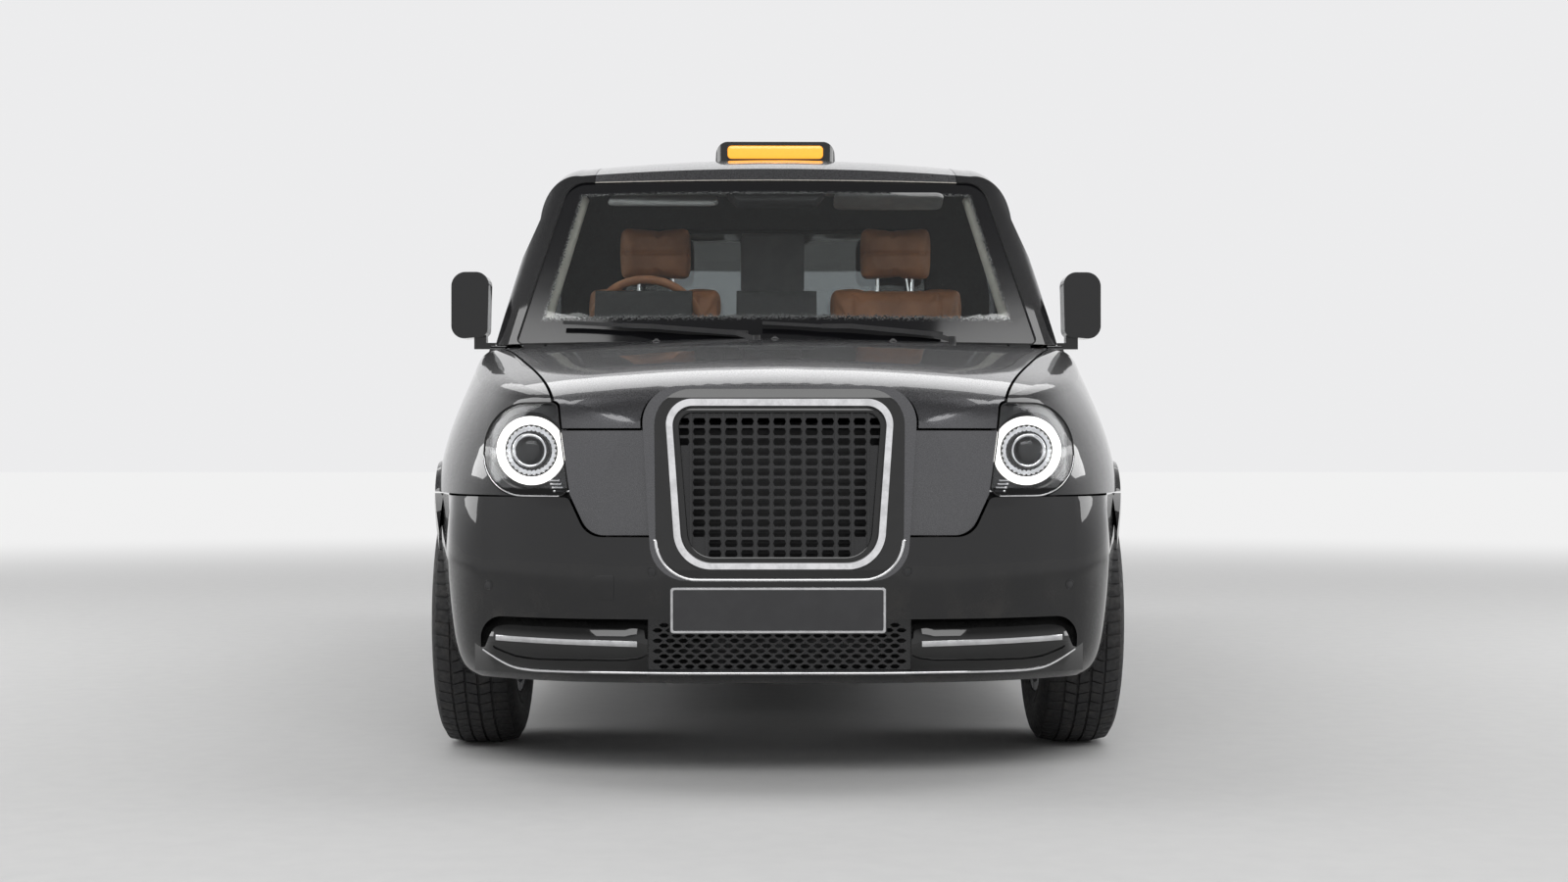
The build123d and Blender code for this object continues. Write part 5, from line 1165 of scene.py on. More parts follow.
@dataclass
class Headlamp:
    """The parts behind one headlight's glass."""

    side: Side
    centre: Point = (0.615, -2.2235, 0.805)

    def at(self, x: float, y: float, z: float) -> Vector:
        """A point off the bowl's middle, on this lamp's side."""
        return Vector((self.side.value * (self.centre[0] + x), self.centre[1] + y, self.centre[2] + z))

    def ring(self, name: str, outer: float, inner: float, front: float, thick: float, round_off: float,
             teeth: int = 0) -> bpy.types.Object:
        """A flat ring facing the front, with fluted edges if it has teeth."""
        outlines = []
        for radius, deep in ((outer, -1), (inner, 1)):
            count = teeth * 2 if teeth else 72
            points = []
            for i in range(count):
                reach = radius + (deep * 0.004 if teeth and i % 2 else 0.0)
                points.append((reach * math.cos(math.tau * i / count),
                               reach * math.sin(math.tau * i / count)))
            outlines.append(points)
        return Bench.plate(name, outlines, facing(FACING_FRONT, self.at(0, front, 0)), thick, round_off)

    def build(self) -> None:
        """Makes every piece."""
        word = self.side.word
        back = self.ring(f"lamp_backing_{word}", 0.088, 0.046, 0.0, 0.003, 0.0005)
        fit(back, GLOSS_BLACK, "body")
        light = self.ring(f"lamp_light_ring_{word}", 0.0855, 0.0645, -0.003, 0.007, 0.003)
        fit(Bench.smooth(light), LED_WHITE, "body")
        flutes = self.ring(f"lamp_reflector_{word}", 0.0625, 0.046, -0.003, 0.004, 0.001, 30)
        fit(flutes, REFLECTOR, "body")
        bright = Bench.hoop(f"projector_ring_{word}", self.at(0, -0.0345, 0), Axis.Y.value, 0.0385, 0.0055,
                            64, 12)
        fit(Bench.smooth(bright, 60), CHROME, "body")
        eye = Bench.dome(f"projector_lens_{word}", self.at(0, -0.032, 0), (0.035, 0.016, 0.035))
        fit(Bench.smooth(eye, 60), DARK_LENS, "body")
        slats = []
        for i in range(6):
            place, normal = land("headlights", self.at(-0.085 + i * 0.004, -1, -0.098 + i * 0.0085),
                                 Axis.Y.value)
            slats.append(Bench.block("slat", place - Vector((0.02, 0.002, 0.0022)),
                                     place + Vector((0.02, 0.002, 0.0022)), 0.0008, 2))
        fit(Bench.join(f"lamp_ribs_{word}", slats), SATIN_CHROME, "body")

        def front(middle: Vector, normal: Vector) -> bool:
            """Whether a face is on the front of this side's glass."""
            return normal.y < -0.25 and middle.x * self.side.value > 0

        def lower(point: Vector) -> bool:
            """Whether a point is on the lower, outer part of the edge."""
            return point.z < 0.80 and abs(point.x) > 0.535

        line = Bench.edging(f"lamp_bright_line_{word}", "headlight_lenses", front, 0.002, lower)
        fit(Bench.smooth(line, 60), CHROME, "body")
        seal = Bench.edging(f"lamp_seal_{word}", "headlight_lenses", front, 0.0016)
        fit(Bench.smooth(seal, 60), RUBBER_SEAL, "body")


@dataclass
class RoofSign:
    """The lit front lens of the roof sign, left blank."""

    def build(self) -> None:
        """A rounded lens with a thin dark lip round it."""
        place = facing(FACING_FRONT, (0, 0.0215, 1.851))
        lens = Bench.plate("sign_lens_blank", [oblong(0.336, 0.046, 0.014)], place, 0.0065, 0.0025)
        fit(Bench.smooth(lens), SIGN_GLOW, "body")
        lip = Bench.plate("sign_lip", [oblong(0.346, 0.055, 0.018), oblong(0.337, 0.047, 0.0145)], place,
                          0.0045, 0.0012)
        fit(Bench.smooth(lip), SATIN_BLACK, "body")


@dataclass
class DoorMirror:
    """The glass of one door mirror."""

    side: Side

    def build(self) -> None:
        """The glass in its recess."""
        word, body = self.side.word, f"front_door_{self.side.word}"
        corners = [(0.919, 1.174), (1.004, 1.166), (1.004, 1.348), (0.914, 1.348)]
        if self.side is Side.LEFT:
            corners = [(-x, z) for x, z in corners][::-1]
        outline = rounded(corners, [0.016] * 4)
        glass = Bench.plate(f"mirror_glass_{word}", [outline], facing(FACING_BACK, (0, -0.7405, 0)), 0.0035,
                            0.0008)
        fit(glass, MIRROR, body)


@dataclass
class Wheel:
    """The tread, sidewall and small parts of one wheel."""

    side: Side
    front: bool
    blocks: int = 66
    radius: float = WHEEL_RADIUS
    centre_x: float = WHEEL_X

    def __post_init__(self) -> None:
        """Finds the wheel's names and place."""
        end = "front" if self.front else "rear"
        self.word = f"{end}_{self.side.word}"
        self.body = f"{end}_wheel_{self.side.word}"
        self.place = Vector((self.side.value * self.centre_x, FRONT_AXLE_Y if self.front else REAR_AXLE_Y,
                             self.radius))

    def build(self, model: "Wheel | None" = None) -> None:
        """Makes the wheel's pieces, or copies another wheel's.

        Args:
            model: the wheel whose pieces are copied.
        """
        self.pieces: dict[str, bpy.types.Object] = {}
        if model:
            move = Matrix.Translation(self.place)
            if self.side is not model.side:
                move = move @ Matrix.Scale(-1, 4, Axis.X.value)
            move = move @ Matrix.Translation(-model.place)
            for key, piece in model.pieces.items():
                self.pieces[key] = Bench.copy(piece, f"{key}_{self.word}", move)
        else:
            self.make()
        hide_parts(f"{self.body.replace('wheel', 'tyre')}")
        # Columns: piece, finish, slot
        for key, finish, slot in (("tyre", TYRE, "tyre_rubber"), ("cap", GLOSS_BLACK, "gloss_black_plastic"),
                                  ("nuts", STEEL, "steel"), ("lip", RIM_SILVER, "rim_alloy"),
                                  ("disc", DISC_STEEL, "steel"),
                                  ("valve", SATIN_BLACK, "black_plastic")):
            fit(self.pieces[key], finish, self.body)

    def around(self, radius: float, angle: float, x: float = 0.0) -> Vector:
        """A point about the wheel's axis."""
        return self.place + Vector((x, radius * math.cos(angle), radius * math.sin(angle)))

    def make(self) -> None:
        """Builds a left wheel, whose outer side faces +X."""
        self.pieces["tyre"] = self.tyre()
        cap = Bench.dome("cap", self.place + Vector((0.083, 0, 0)), (0.008, 0.030, 0.030))
        ring = Bench.hoop("ring", self.place + Vector((0.083, 0, 0)), Axis.X.value, 0.030, 0.0025, 48, 8)
        self.pieces["cap"] = Bench.smooth(Bench.join(f"cap_{self.word}", [cap, ring]), 60)
        nuts = [Bench.drum("nut", self.around(0.056, math.tau * i / 5 + 0.3, 0.066),
                           self.around(0.056, math.tau * i / 5 + 0.3, 0.089),
                           0.0105, 6, 0.002) for i in range(5)]
        self.pieces["nuts"] = Bench.join(f"nuts_{self.word}", nuts)
        self.pieces["lip"] = Bench.smooth(Bench.hoop(f"lip_{self.word}", self.place + Vector((0.0935, 0, 0)),
                                                     Axis.X.value, 0.2125, 0.0038, 96, 10), 60)
        disc = Bench.drum("disc", self.place + Vector((-0.012, 0, 0)), self.place + Vector((0.010, 0, 0)),
                          0.150, 72, 0.001)
        hat = Bench.drum("hat", self.place + Vector((0.008, 0, 0)), self.place + Vector((0.05, 0, 0)), 0.075,
                         48, 0.003)
        whole = Bench.join(f"disc_{self.word}", [disc, hat])
        hole = Bench.drum("hole", self.place + Vector((-0.05, 0, 0)), self.place + Vector((0.09, 0, 0)),
                          0.034, 40)
        Bench.cut_out(whole, hole)
        self.pieces["disc"] = Bench.smooth(whole)
        valve = Bench.drum(f"valve_{self.word}", self.around(0.196, 1.2, 0.062),
                           self.around(0.192, 1.2, 0.096), 0.0042, 16, 0.0008)
        self.pieces["valve"] = valve

    def tyre(self) -> bpy.types.Object:
        """A turned carcass with sidewall ribs and four grooves, under separate tread blocks."""
        # Columns: distance from the middle, radius
        outer = [(0.0, 0.3485), (0.066, 0.3480), (0.084, 0.3440), (0.095, 0.3370), (0.1015, 0.3270),
                 (0.1040, 0.3190),
                 (0.1030, 0.3175), (0.1055, 0.3100), (0.1070, 0.2920), (0.1068, 0.2760), (0.1050, 0.2620),
                 (0.1030, 0.2500),
                 (0.1040, 0.2485), (0.1020, 0.2400), (0.0985, 0.2280), (0.0965, 0.2190), (0.0900, 0.2165)]
        inner = [(0.0860, 0.2230), (0.0920, 0.2600), (0.0930, 0.3000), (0.0800, 0.3320), (0.0, 0.3370)]
        half = outer + inner
        loop = half + [(-x, r) for x, r in reversed(half) if x]
        bpy.ops.object.select_all(action="DESELECT")
        bpy.ops.mesh.primitive_circle_add(vertices=len(loop), fill_type="NOTHING")
        carcass = bpy.context.object
        for point, (x, r) in zip(carcass.data.vertices, loop):
            point.co = (x, r, 0.0)
        Bench.change(carcass, "SCREW", axis="X", steps=96, render_steps=96, use_merge_vertices=True,
                     merge_threshold=1e-6)
        carcass.location = self.place
        Bench.weld(Bench.added("carcass"))
        group = []
        # Columns: middle, half width, foot and top radius, slant, half length
        rows = [(0.0, 0.0135, 0.345, 0.3550, 0.25, 0.0152), (0.034, 0.0145, 0.345, 0.3545, -0.35, 0.0150),
                (-0.034, 0.0145, 0.345, 0.3545, -0.35, 0.0150), (0.0725, 0.0185, 0.339, 0.3520, 0.12, 0.0148),
                (-0.0725, 0.0185, 0.339, 0.3520, 0.12, 0.0148)]
        for x, wide, foot, top, slant, long in rows:
            block = Bench.block("block", (x - wide, -long, foot), (x + wide, long, top), 0.0012, 1)
            for point in block.data.vertices:
                point.co.y += (point.co.x - x) * slant
                if abs(x) > 0.06 and point.co.z > 0.35:
                    point.co.z -= max(0.0, (abs(point.co.x) - 0.060)) * 0.22
            group.append(block)
        tread = Bench.join("tread", group)
        # The array turns each copy about the wheel's axis, which is the empty's origin here
        bpy.ops.object.select_all(action="DESELECT")
        bpy.ops.object.empty_add(rotation=(math.tau / self.blocks, 0, 0))
        guide = bpy.context.object
        Bench.change(tread, "ARRAY", count=self.blocks, use_relative_offset=False, use_object_offset=True,
                     offset_object=guide)
        bpy.data.objects.remove(guide)
        tread.location = self.place
        Bench.take(tread)
        Bench.added("tread")
        return Bench.smooth(Bench.join(f"tyre_{self.word}", [carcass, tread]), 40)


@dataclass
class Caliper:
    """One brake caliper on its carrier."""

    side: Side
    front: bool

    def build(self) -> None:
        """A bridge over the disc's back edge on an arm, with two bolts."""
        x, y = WHEEL_X, FRONT_AXLE_Y if self.front else REAR_AXLE_Y
        body = f"steering_knuckle_{self.side.word}" if self.front else "body"
        tilt = math.radians(18 if self.front else 35)
        turn = Matrix.Translation((x, y, WHEEL_RADIUS)) @ Matrix.Rotation(tilt, 4, "X")
        low, high = (-0.036, 0.098, -0.046), (0.022, 0.161, 0.046)
        bridge = Bench.block("bridge", low, high, 0.005)
        slot = Bench.block("slot", (-0.017, 0.06, -0.06), (0.015, 0.1555, 0.06))
        Bench.cut_out(bridge, slot)
        arm = Bench.block("arm", (-0.054, 0.028, -0.02), (-0.026, 0.12, 0.02), 0.005)
        bolts = [Bench.drum("bolt", (0.018, 0.128, z), (0.0265, 0.128, z), 0.007, 6, 0.001)
                 for z in (-0.028, 0.028)]
        whole = Bench.join(f"caliper_{'front' if self.front else 'rear'}_{self.side.word}",
                           [bridge, arm, *bolts])
        whole.data.transform(Matrix.Scale(self.side.value, 4, Axis.X.value) @ turn)
        if self.side is Side.RIGHT:
            whole.data.flip_normals()
        fit(Bench.smooth(whole), CAST, body)


@dataclass
class Pad:
    """A foam pad: a soft block that a short cloth simulation inflates."""

    name: str
    low: Point
    high: Point
    lean: float = 0.0
    bolster: float = 0.0
    bolster_from: float = 0.6
    channels: int = 0
    along_z: bool = False
    cap: float = 0.012
    shrink: float = 0.006

    def build(self, body: str, finish: Finish, slot: str) -> bpy.types.Object:
        """Makes the pad with its seams on a body."""
        inset = Vector((self.shrink,) * 3)
        low, high = Vector(self.low) + inset, Vector(self.high) - inset
        piece = Bench.block(self.name, low, high)
        size = high - low
        self.split(piece, low, high)
        front = self.face_axis
        middle = (low.x + high.x) / 2
        if self.bolster:
            edge = size.x / 2 * self.bolster_from
            for sign in (-1, 1):
                Bench.shape(piece, lambda c, n, s=sign: self.is_face(n) and (c.x - middle) * s > edge,
                            lambda: bpy.ops.transform.translate(value=front * self.bolster))
        Bench.change(piece, "BEVEL", width=0.022, segments=3, limit_method="ANGLE", angle_limit=0.7)
        Bench.change(piece, "REMESH", mode="VOXEL", voxel_size=0.006,
                     use_smooth_shade=True)
        Bench.change(piece, "SMOOTH", factor=0.5, iterations=12)
        self.inflate(piece)
        Bench.change(piece, "SUBSURF", levels=1, render_levels=1)
        if self.lean:
            foot = low.z
            for point in piece.data.vertices:
                point.co.y += (point.co.z - foot) * self.lean
        self.press_seams(piece, low, high)
        Bench.smooth(piece, 180)
        fit(piece, finish, body)
        return piece

    @property
    def face_axis(self) -> Vector:
        """The way that the pad's sat-on face looks."""
        return Vector((0, -1, 0)) if self.along_z else Vector((0, 0, 1))

    def is_face(self, normal: Vector) -> bool:
        """Whether a normal is that of the sat-on face."""
        return normal.dot(self.face_axis) > 0.7

    def split(self, piece: bpy.types.Object, low: Vector, high: Vector) -> None:
        """Cuts a line into the block where each bolster starts."""
        size = high - low
        middle = (low.x + high.x) / 2
        for share in (-self.bolster_from, self.bolster_from):
            Bench.cut(piece, (middle + share * size.x / 2, 0, 0), Axis.X.value)

    def inflate(self, piece: bpy.types.Object) -> None:
        """Runs cloth under pressure for 20 frames, with a limit on how far a point may move."""
        scene = bpy.context.scene
        before = [point.co.copy() for point in piece.data.vertices]
        Bench.take(piece)
        cloth = piece.modifiers.new("cloth", "CLOTH")
        cloth.settings.use_pressure = True
        cloth.settings.uniform_pressure_force = 4.0
        cloth.settings.quality = 4
        cloth.settings.effector_weights.gravity = 0.0
        cloth.point_cache.frame_start, cloth.point_cache.frame_end = 1, 20
        for count in range(1, 21):
            scene.frame_set(count)
        bpy.ops.object.modifier_apply(modifier=cloth.name)
        scene.frame_set(1)
        for point, start in zip(piece.data.vertices, before):
            move = point.co - start
            if move.length > self.cap:
                point.co = start + move.normalized() * self.cap

    def press_seams(self, piece: bpy.types.Object, low: Vector, high: Vector) -> None:
        """Presses the seam lines and sewn channels into the sat-on face."""
        size, middle = high - low, (low.x + high.x) / 2
        lines = [middle - self.bolster_from * size.x / 2,
                 middle + self.bolster_from * size.x / 2] if self.bolster else []
        run = (low.z, size.z) if self.along_z else (low.y, size.y)
        across = [run[0] + run[1] * (i + 1) / (self.channels + 1) for i in range(self.channels)]
        inner = self.bolster_from * size.x / 2 if self.bolster else size.x / 2 * 0.97
        face = self.face_axis
        moves = []
        for point in piece.data.vertices:
            place = point.co.z if self.along_z else point.co.y
            deep = 0.0
            if self.is_face(point.normal):
                for x in lines:
                    deep = max(deep, 0.0065 * math.exp(-(((point.co.x - x) / 0.0055) ** 2)))
                if abs(point.co.x - middle) < inner:
                    for y in across:
                        deep = max(deep, 0.006 * math.exp(-(((place - y) / 0.006) ** 2)))
            moves.append(deep)
        for point, deep in zip(piece.data.vertices, moves):
            if deep > 0.0001:
                point.co -= face * deep


@dataclass
class Cabin:
    """Seats, wheel, trim and small fittings inside."""

    driver_x: float = -0.415

    def build(self) -> None:
        """Makes every piece."""
        self.front_seats()
        self.bench()
        self.steering_wheel()
        self.dashboard()
        self.screen_fittings()
        self.partition_fittings()
        self.linings()

    def front_seats(self) -> None:
        """Two tan seats, the left one a copy of the driver's."""
        x = self.driver_x
        seat = [
            Pad("seat_cushion_right", (x - 0.245, -0.590, 0.640), (x + 0.245, -0.160, 0.745),
                bolster=0.030, bolster_from=0.66, channels=3),
            Pad("seat_back_right", (x - 0.235, -0.222, 0.715), (x + 0.235, -0.128, 1.365),
                lean=0.088, bolster=0.032, bolster_from=0.64, channels=5, along_z=True),
            Pad("headrest_right", (x - 0.128, -0.146, 1.385), (x + 0.128, -0.066, 1.575),
                channels=1, along_z=True, cap=0.010),
        ]
        pads = [pad.build("body", TAN_LEATHER, "tan_leather") for pad in seat]
        base = Bench.block("base", (x - 0.185, -0.515, 0.365), (x + 0.185, -0.14, 0.56), 0.02)
        pan = Bench.block("pan", (x - 0.225, -0.56, 0.545), (x + 0.225, -0.15, 0.645), 0.025)
        skirts = [Bench.block("skirt", (x + s * 0.222 - 0.012, -0.5, 0.50),
                              (x + s * 0.222 + 0.012, -0.10, 0.70), 0.011) for s in (-1, 1)]
        shell = Bench.block("shell", (x - 0.215, -0.125, 0.73), (x + 0.215, -0.098, 1.30), 0.013)
        for point in shell.data.vertices:
            point.co.y += (point.co.z - 0.73) * 0.058
        hinge = Bench.drum("hinge", (x - 0.242, -0.135, 0.70), (x + 0.242, -0.135, 0.70), 0.035, 32, 0.006)
        frame_piece = Bench.smooth(Bench.join("seat_frame_right", [base, pan, *skirts, shell, hinge]))
        fit(frame_piece, SATIN_BLACK, "body")
        posts = [Bench.drum("post", (x + s * 0.06, -0.098, 1.33), (x + s * 0.06, -0.098, 1.45), 0.0065, 20)
                 for s in (-1, 1)]
        posts = fit(Bench.join("headrest_posts_right", posts), CHROME, "body")
        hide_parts("front_seats")
        for piece, finish, slot in [*((pad, TAN_LEATHER, "tan_leather") for pad in pads),
                                    (frame_piece, SATIN_BLACK, "black_plastic"),
                                    (posts, CHROME, "chrome_trim")]:
            twin = Bench.other_side(piece, piece.name.replace("right", "left"))
            fit(twin, finish, "body")

    def bench(self) -> None:
        """The rear bench with three seats' worth of pads on a plain box."""
        models = [Pad("bench_cushion_1", (-0.203, 1.112, 0.655), (0.203, 1.600, 0.790), channels=2),
                  Pad("bench_back_1", (-0.203, 1.575, 0.775), (0.203, 1.665, 1.395), lean=0.125, channels=4,
                      along_z=True)]
        for model in models:
            piece = model.build("body", SEAT_CLOTH, "dark_fabric")
            for count, x in ((2, -0.41), (3, 0.41)):
                twin = Bench.copy(piece, model.name.replace("1", str(count)), Matrix.Translation((x, 0, 0)))
                fit(twin, SEAT_CLOTH, "body")
        box = Bench.block("box", (-0.61, 1.125, 0.567), (0.61, 1.60, 0.668), 0.012)
        back = Bench.block("back", (-0.61, 1.668, 0.567), (0.61, 1.685, 1.36), 0.006)
        for point in back.data.vertices:
            point.co.y += (point.co.z - 0.567) * 0.082
        whole = fit(Bench.smooth(Bench.join("bench_frame", [box, back])), SATIN_BLACK, "body")
        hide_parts("rear_seat")

    def steering_wheel(self) -> None:
        """A leather rim on three spokes, with a hub pad, a bright disc and a shaft."""
        centre = Vector((self.driver_x, -0.6535, 1.185))
        axis = Vector((0, math.cos(math.radians(26)), math.sin(math.radians(26))))
        place = turned(centre, axis)
        rim = Bench.hoop("wheel_rim", centre, axis, 0.176, 0.0138, 96, 16)
        fit(Bench.smooth(rim, 60), TAN_LEATHER, "steering_wheel")
        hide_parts("steering_wheel")
        spokes = []
        for angle in (math.radians(-8), math.radians(188), math.radians(270)):
            start, end = (place @ Vector((r * math.cos(angle), r * math.sin(angle), z))
                          for r, z in ((0.03, -0.028), (0.168, -0.002)))
            spokes.append(Bench.drum("spoke", start, end, 0.021, 20, 0.0, 0.013))
        hub = Bench.plate("hub", [oblong(0.150, 0.125, 0.045)], place @ Matrix.Translation((0, 0, -0.045)),
                          0.036, 0.012)
        shaft = Bench.drum("shaft", place @ Vector((0, 0, -0.118)), place @ Vector((0, 0, -0.04)), 0.026, 32)
        whole = Bench.join("wheel_hub", [*spokes, hub, shaft])
        fit(Bench.smooth(whole), SOFT_BLACK, "steering_wheel")
        disc = Bench.plate("wheel_disc",
                           [rounded([(-0.02, -0.02), (0.02, -0.02), (0.02, 0.02), (-0.02, 0.02)],
                                    [0.0199] * 4, 10)],
                            place @ Matrix.Translation((0, 0, -0.0092)), 0.0014, 0.0005)
        fit(disc, SATIN_CHROME, "steering_wheel")

    def dashboard(self) -> None:
        """Displays, vents, a glove box lid and a heater panel on the dashboard's cabin side."""
        tall, z = 0.105, 1.240
        for name, x, wide in (("driver_display", self.driver_x, 0.235), ("centre_display", 0.0, 0.205)):
            place, normal = land("dashboard", (x, 0, z), (0, -1, 0))
            screen = Bench.plate(name, [oblong(wide, tall, 0.012)], turned(place - normal * 0.001, normal),
                                 0.005, 0.0015)
            fit(screen, SCREEN_GLOW, "body")
        for count, x in enumerate((-0.63, -0.20, 0.20, 0.61)):
            place, normal = land("dashboard", (x, 0, 1.08), (0, -1, 0))
            there = turned(place - normal * 0.001, normal)
            ring = Bench.plate("ring", [oblong(0.115, 0.062, 0.018), oblong(0.098, 0.046, 0.012)], there,
                               0.006, 0.002)
            fins = [Bench.plate("fin", [oblong(0.100, 0.004, 0.0015)],
                                there @ Matrix.Translation((0, -0.018 + 0.009 * i, 0)), 0.004, 0.0008)
                    for i in range(5)]
            fit(Bench.smooth(Bench.join(f"vent_{count + 1}", [ring, *fins])), DARK_GREY, "body")
        place, normal = land("dashboard", (0.40, 0, 0.92), (0, -1, 0))
        lid = Bench.plate("glove_box_lid", [oblong(0.42, 0.20, 0.02)], turned(place - normal * 0.001, normal),
                          0.008, 0.003)
        fit(Bench.smooth(lid), SOFT_BLACK, "body")
        place, normal = land("dashboard", (0.0, 0, 0.93), (0, -1, 0))
        there = turned(place - normal * 0.001, normal)
        panel = Bench.plate("panel", [oblong(0.20, 0.13, 0.014)], there, 0.006, 0.002)
        knobs = [Bench.drum("knob", there @ Vector((x, -0.02, 0.005)), there @ Vector((x, -0.02, 0.022)),
                            0.016, 32, 0.003) for x in (-0.06, 0.0, 0.06)]
        fit(Bench.smooth(Bench.join("heater_panel", [panel, *knobs])), GLOSS_BLACK, "body")

    def screen_fittings(self) -> None:
        """The camera housing, permit, visors and pillar trim behind the windscreen."""
        housing = [self.behind(x, y, back) for x, y, back in
                   ((-0.13, -0.585, 0.014), (0.13, -0.585, 0.014), (0.175, -0.512, 0.012),
                    (-0.175, -0.512, 0.012))]
        place, normal = land("windscreen", (0, -0.545, 3), (0, 0, -1))
        there = turned(place - normal * 0.052, normal)
        flat = [there.inverted() @ point for point in housing]
        piece = Bench.plate("camera_housing", [rounded([(p.x, p.y) for p in flat], [0.02] * 4)], there, 0.038,
                            0.009)
        fit(Bench.smooth(piece), SATIN_BLACK, "body")
        place, normal = land("windscreen", (0.365, -1.155, 3), (0, 0, -1))
        permit = Bench.plate("blank_permit", [oblong(0.118, 0.085, 0.004)],
                             turned(place - normal * 0.0085, normal), 0.0012)
        fit(permit, PAPER, "body")
        for side in Side:
            place, normal = land("windscreen", (side.value * 0.37, -0.475, 3), (0, 0, -1))
            tilt = Matrix.Rotation(math.radians(-16), 4, "X")
            visor = Bench.plate(f"visor_{side.word}", [oblong(0.36, 0.13, 0.03)],
                                turned(place - normal * 0.075, normal) @ tilt, 0.016, 0.007)
            fit(Bench.smooth(visor), GREY_TRIM, "body")
            path = []
            for share in (0.06, 0.2, 0.4, 0.6, 0.8, 0.94):
                z, x = 1.123 + share * 0.567, 0.740 - share * 0.10
                place, normal = land("windscreen", (side.value * x, -3, z), Axis.Y.value)
                path.append(place - normal * 0.038)
            trim = Bench.bead(f"pillar_trim_{side.word}", path, 0.023)
            fit(Bench.smooth(trim, 60), PALE_TRIM, "body")

    @staticmethod
    def behind(x: float, y: float, back: float) -> Vector:
        """A point behind the windscreen."""
        place, normal = land("windscreen", (x, y, 3), (0, 0, -1))
        return place - normal * back

    def partition_fittings(self) -> None:
        """The hatch's rubber frame and the dark panel on its glass."""
        loop = rounded([(-0.553, 1.155), (0.553, 1.155), (0.525, 1.574), (-0.525, 1.574)], [0.045] * 4)
        frame_line = Bench.bead("hatch_frame", [(x, 0.0645, z) for x, z in loop], 0.008, closed=True, order=2)
        fit(Bench.smooth(frame_line, 60), RUBBER_SEAL, "body")
        panel = Bench.plate("fare_panel", [oblong(0.225, 0.215, 0.02)],
                            facing(FACING_FRONT, (-0.01, 0.0755, 1.462)), 0.014, 0.004)
        fit(Bench.smooth(panel), DARK_GREY, "body")

    def linings(self) -> None:
        """The headlining and the door cards, thickened copies of what they cover, and the armrests."""
        lining = Bench.peel("headlining", "roof_panel", lambda c, n: n.z < -0.5)
        Bench.change(lining, "SOLIDIFY", thickness=0.003, offset=1.0)
        fit(lining, HEADLINING, "body")
        for side in Side:
            def inside(middle: Vector, normal: Vector, sign: int = side.value) -> bool:
                """Whether a face of this side's door looks into the cabin from under the window."""
                return normal.x * sign < -0.5 and abs(middle.x) > 0.81 and middle.z < 1.12

            for end, start, stop in (("front", -1.0, -0.15), ("rear", 0.15, 0.80)):
                node = f"{end}_door_{side.word}"
                card = Bench.peel(f"door_card_{end}_{side.word}", node, inside)
                for place, normal in (((0, start, 0), (0, -1, 0)), ((0, stop, 0), Axis.Y.value),
                                      ((0, 0, 0.42), (0, 0, -1)),
                                      ((0, 0, 1.085), Axis.Z.value)):
                    Bench.cut(card, place, normal, True)
                Bench.change(card, "SOLIDIFY", thickness=0.008, offset=1.0)
                x, _ = land(node, (0, (start + stop) / 2, 0.86), (side.value, 0, 0))
                rest = Bench.block("rest", (min(x.x, x.x - side.value * 0.052), start + 0.13, 0.83),
                                   (max(x.x, x.x - side.value * 0.052), stop - 0.13, 0.875), 0.018)
                whole = Bench.smooth(Bench.join(f"door_card_{end}_{side.word}", [card, rest]))
                fit(whole, SOFT_BLACK, node)


